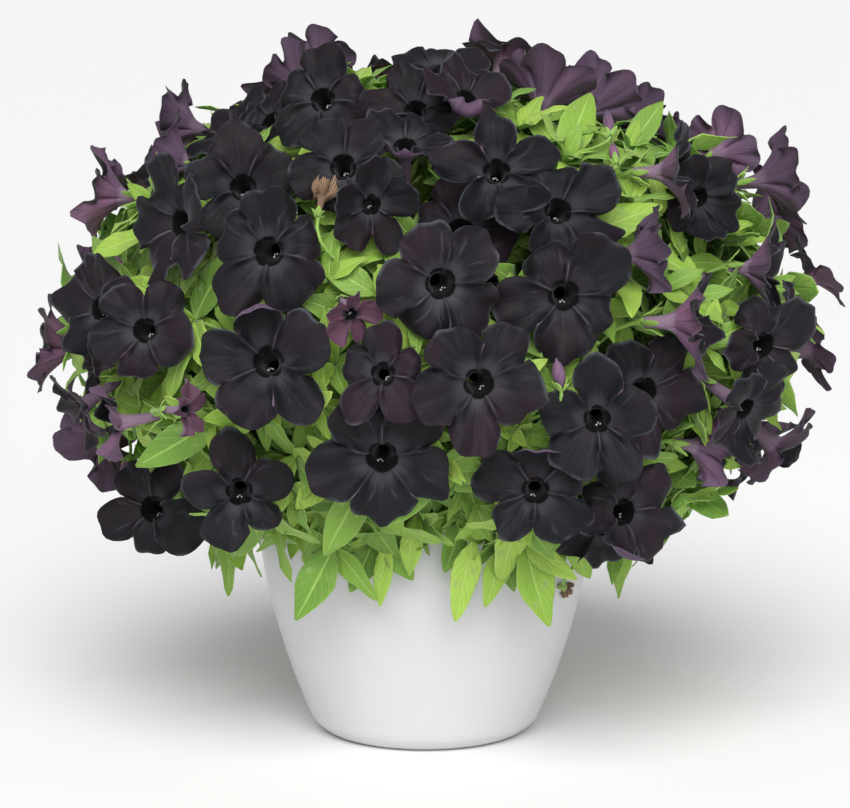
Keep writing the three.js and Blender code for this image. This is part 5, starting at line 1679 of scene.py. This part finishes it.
def pot_radius(z):
    """The outer radius at a height: foot + flare (1 - (1 - share)^1.9) + slope share + corner."""
    share = z / POT["height"]
    corner = POT["rounding"] * np.sqrt(np.clip(z / POT["corner"], 0, 1))
    return POT["foot"] + POT["flare"] * (1 - (1 - share) ** 1.9) + POT["slope"] * share + corner


def carried_round(profile, columns):
    """Rings of points from a profile of (radius, height)."""
    turn = 2 * np.pi * np.arange(columns) / columns
    circle = np.stack([np.cos(turn), np.sin(turn)], axis=-1)
    rings = np.zeros((1, len(profile), columns, 3))
    rings[0, :, :, :2] = profile[:, None, :1] * circle
    rings[0, :, :, 2] = profile[:, 1:]
    return rings


def pot_profile():
    """From the middle of the base outside, round the rim, to the middle of the floor inside."""
    height, wall, floor = POT["height"], POT["wall"], POT["floor"]
    rim = pot_radius(height)
    low = np.array([0, 0.15, 0.6, 1.3, 2.4, 3.9, 5.4, 7.2])
    outside = np.concatenate([low, np.linspace(10, height - POT["lip"], 30)])
    base = [(4.0, 0.0), (30.0, 0.0), (POT["foot"] - 4, 0.0), (POT["foot"] - 1, 0.0)]
    wall_out = np.stack([pot_radius(outside), outside], axis=-1)
    lip = [(rim - 0.15, height - POT["lip"] + 0.5), (rim, height - POT["lip"] + 1.4),
           (rim, height - 3)]
    turn = np.linspace(0, np.pi, 9)
    roll = np.stack([np.cos(turn) - 1, np.sin(turn) - 1], axis=-1) * wall / 2 + (rim, height)
    inside = np.linspace(height - 6, floor + 4, 24)
    wall_in = np.stack([pot_radius(inside) - wall, inside], axis=-1)
    bottom = [(pot_radius(floor + 1.5) - wall - 0.8, floor + 1.2),
              (pot_radius(floor) - wall - 3, floor), (30, floor), (4, floor)]
    return np.concatenate([base, wall_out, lip, roll, wall_in, bottom])


def pot_finish():
    finish = Finish("pot")
    cloud = finish.noise(9.0)
    fine = finish.noise(260.0, detail=4.0)
    dust = finish.noise(55.0, detail=5.0).between(0.55, 0.8)
    white = finish.mixed(cloud * 0.5, (0.610, 0.610, 0.620), (0.585, 0.585, 0.594))
    white = finish.mixed(dust * 0.12, white, (0.50, 0.49, 0.47))
    return finish.surface(
        Base_Color=white, Roughness=fine * 0.10 + dust * 0.06 + 0.30, Specular_IOR_Level=0.45,
        Coat_Weight=0.12, Coat_Roughness=0.2, Subsurface_Weight=0.06,
        Subsurface_Radius=(1.0, 1.0, 1.0), Subsurface_Scale=0.002,
        Normal=finish.bump(fine * 0.5 + cloud * 0.8, 0.0002, 0.35),
    )


rings = carried_round(pot_profile(), POT_COLUMNS)
pot = made_of("pot_shell", [skins(rings, np.zeros(rings.shape), [0.5])])
print("pot:", len(pot.data.polygons), "faces,", [round(v, 3) for v in pot.dimensions])

# %% [markdown]
# Five drain holes go through the base. They are cut with round cutters, as a drill would, and the
# cutters are thrown away.

# %% Drain holes
DRAIN = dict(count=5, radius=4.5, from_axis=31.0)
for i in range(DRAIN["count"]):
    spot = bearing(2 * math.pi * i / DRAIN["count"]) * DRAIN["from_axis"]
    path = spot + UP * np.linspace(-4, 8, 3)[:, None]
    drill = made_of("drill", [stalk_skins(path[None], np.full((1, 3), DRAIN["radius"]), sides=32)])
    hole = pot.modifiers.new("hole", "BOOLEAN")
    hole.object, hole.operation, hole.solver = drill, "DIFFERENCE", "EXACT"
    depsgraph = bpy.context.evaluated_depsgraph_get()
    drilled = bpy.data.meshes.new_from_object(pot.evaluated_get(depsgraph))
    pot.modifiers.clear()
    pot.data = drilled
    bpy.data.objects.remove(drill)
pot.data.materials.clear()
finished(pot, pot_finish(), "pot", "pot")
print("pot with its holes:", len(pot.data.polygons), "faces")

# %% [markdown]
# The soil fills the pot to a little below the rim, higher in the middle. Its surface is a height
# field of several sizes of lumps, with loose crumbs and a few paler fibres lying on it.

# %% Soil
SOIL_COLUMNS = 120
LUMP = 1.3  # how high the lumps are


def lumps(x, y, seed):
    """Uneven ground: sums of sines with ever shorter waves in turning directions."""
    height = np.zeros_like(x)
    for k in range(9):
        turn, size = 2.4 * k + seed, 34 / 1.55**k
        along = (x * math.cos(turn) + y * math.sin(turn)) / size
        across = (y * math.cos(turn) - x * math.sin(turn)) / size
        height += size / 34 * np.sin(along * 6.28 + 5 * chance(k, 140))
        height += size / 50 * np.sin(across * 5.1 + 5 * chance(k, 141))
    return height


def ground(share):
    """The soil's height at a share of its radius, without the lumps: a low dome."""
    return SOIL["edge"] + (SOIL["crown"] - SOIL["edge"]) * np.cos(share * np.pi / 2) ** 0.8


def soil_skin():
    """From the middle of its underside, up beside the wall, and inwards over the top."""
    floor, edge = POT["floor"] + 0.3, SOIL["edge"]
    side = np.linspace(floor + 4, edge - 1, 10)
    reach = pot_radius(edge) - POT["wall"] - 0.8
    inward = np.linspace(reach, 3, 40)
    top = ground(np.clip(inward / reach, 0, 1))
    below = np.concatenate([
        [(4, floor), (pot_radius(floor) - POT["wall"] - 4, floor)],
        np.stack([pot_radius(side) - POT["wall"] - 0.8, side], axis=-1),
    ])
    rings = carried_round(np.concatenate([below, np.stack([inward, top], axis=-1)]), SOIL_COLUMNS)
    fade = np.concatenate([np.zeros(len(below)), np.clip((reach - inward) / 6, 0, 1)])
    rings[0, :, :, 2] += fade[:, None] * LUMP * lumps(rings[0, :, :, 0], rings[0, :, :, 1], 0.7)
    return skins(rings, np.zeros(rings.shape), [0.5])


def crumb_skins(count, seed):
    """Loose crumbs: squashed uneven balls lying on the soil."""
    rng = np.random.default_rng(seed)
    reach, turn = 72 * np.sqrt(rng.random(count)), 2 * np.pi * rng.random(count)
    size = 0.8 + 2.2 * rng.random(count) ** 2
    lie = np.linspace(0.15, 0.85, 4) * np.pi
    centre = np.stack([reach * np.cos(turn), reach * np.sin(turn), np.zeros(count)], axis=-1)
    centre[:, 2] = ground(reach / 78)
    centre[:, 2] += LUMP * lumps(centre[:, 0], centre[:, 1], 0.7) + size * 0.25
    paths = centre[:, None] - UP * (size[:, None] * np.cos(lie) * 0.7)[..., None]
    radii = size[:, None] * np.sin(lie) * (0.75 + 0.5 * rng.random((count, 4)))
    return stalk_skins(paths, radii, sides=6)


def soil_finish():
    finish = Finish("soil")
    clods = finish.noise(160.0, detail=8.0, roughness=0.7)
    fibre = finish.noise(90.0, detail=2.0, squeeze=(1.0, 9.0, 1.0)).between(0.68, 0.74)
    brown = finish.mixed(clods.between(0.3, 0.7), (0.012, 0.008, 0.006), (0.060, 0.038, 0.024))
    brown = finish.mixed(fibre * 0.5, brown, (0.130, 0.085, 0.050))
    return finish.surface(
        Base_Color=brown, Roughness=clods * 0.2 + 0.78, Specular_IOR_Level=0.2,
        Normal=finish.bump(clods, 0.003, 0.9),
    )


soil = made_of("soil_fill", [soil_skin(), crumb_skins(420, 11)])
finished(soil, soil_finish(), "soil", "soil")
print("soil:", len(soil.data.polygons), "faces")

# %% [markdown]
# The stage is a plain pale floor under a white sky, so wide that it fills the whole view. The key
# light is a very soft sun: it lights the floor evenly to any distance, which lamps can't. One large
# lamp in front brings out the dark petals.

# %% Stage and light
def floor_finish():
    finish = Finish("floor")
    speck = finish.noise(12.0)
    return finish.surface(Base_Color=finish.mixed(speck, (0.94, 0.94, 0.94), (0.95, 0.95, 0.95)),
                          Roughness=0.9, Specular_IOR_Level=0.1)


def aimed(name, light, place):
    """A light at a place in metres that points at the middle of the plant."""
    lit = bpy.data.objects.new(name, light)
    toward = np.array([0, 0, 0.2]) - np.array(place)
    lit.location = place
    tilt = math.acos(-toward[2] / np.linalg.norm(toward))
    lit.rotation_euler = (tilt, 0, math.atan2(-toward[0], toward[1]))
    bpy.context.scene.collection.objects.link(lit)


WIDE = 60.0  # metres from the plant to the floor's edge
floor_mesh = bpy.data.meshes.new("floor")
corners = [(-WIDE, -WIDE, 0), (WIDE, -WIDE, 0), (WIDE, WIDE, 0), (-WIDE, WIDE, 0)]
floor_mesh.from_pydata(corners, [], [(0, 1, 2, 3)])
floor = bpy.data.objects.new("floor", floor_mesh)
floor.location.z = -0.0005  # a little under the pot's foot
floor.data.materials.append(floor_finish())
bpy.context.scene.collection.objects.link(floor)
floor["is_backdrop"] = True

world = bpy.data.worlds.new("sky")
world.use_nodes = True
sky = world.node_tree.nodes["Background"].inputs
sky["Color"].default_value, sky["Strength"].default_value = (1, 1, 1, 1), 0.36
bpy.context.scene.world = world
bpy.context.scene.view_settings.view_transform = "Standard"
sun = bpy.data.lights.new("sun", "SUN")
sun.energy, sun.angle = 2.95, math.radians(40)
aimed("sun", sun, (-0.1, -2.3, 2.3))
front = bpy.data.lights.new("front", "AREA")
front.energy, front.size = 14, 1.2
aimed("front", front, (0.5, -2.2, 0.9))
print("lights:", [light.name for light in bpy.data.lights])

# %% [markdown]
# Last, the box of the dressed plant is set beside the coarse model's. Petals that are ruffled may
# stand a few millimetres proud of it, and nothing more.

# %% The size beside the coarse model's, and the end
boxes = {"cad": [[float(v) for v in corner] for corner in cad_box],
         "visual": [[float(v) for v in corner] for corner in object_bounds()]}
for axis in range(3):
    side = boxes["cad"][1][axis] - boxes["cad"][0][axis]
    below = boxes["cad"][0][axis] - boxes["visual"][0][axis]
    above = boxes["visual"][1][axis] - boxes["cad"][1][axis]
    proud = [round(100 * v / side, 1) for v in (below, above)]
    print("XYZ"[axis], "side", round(side, 4), "stands proud by", proud, "percent")
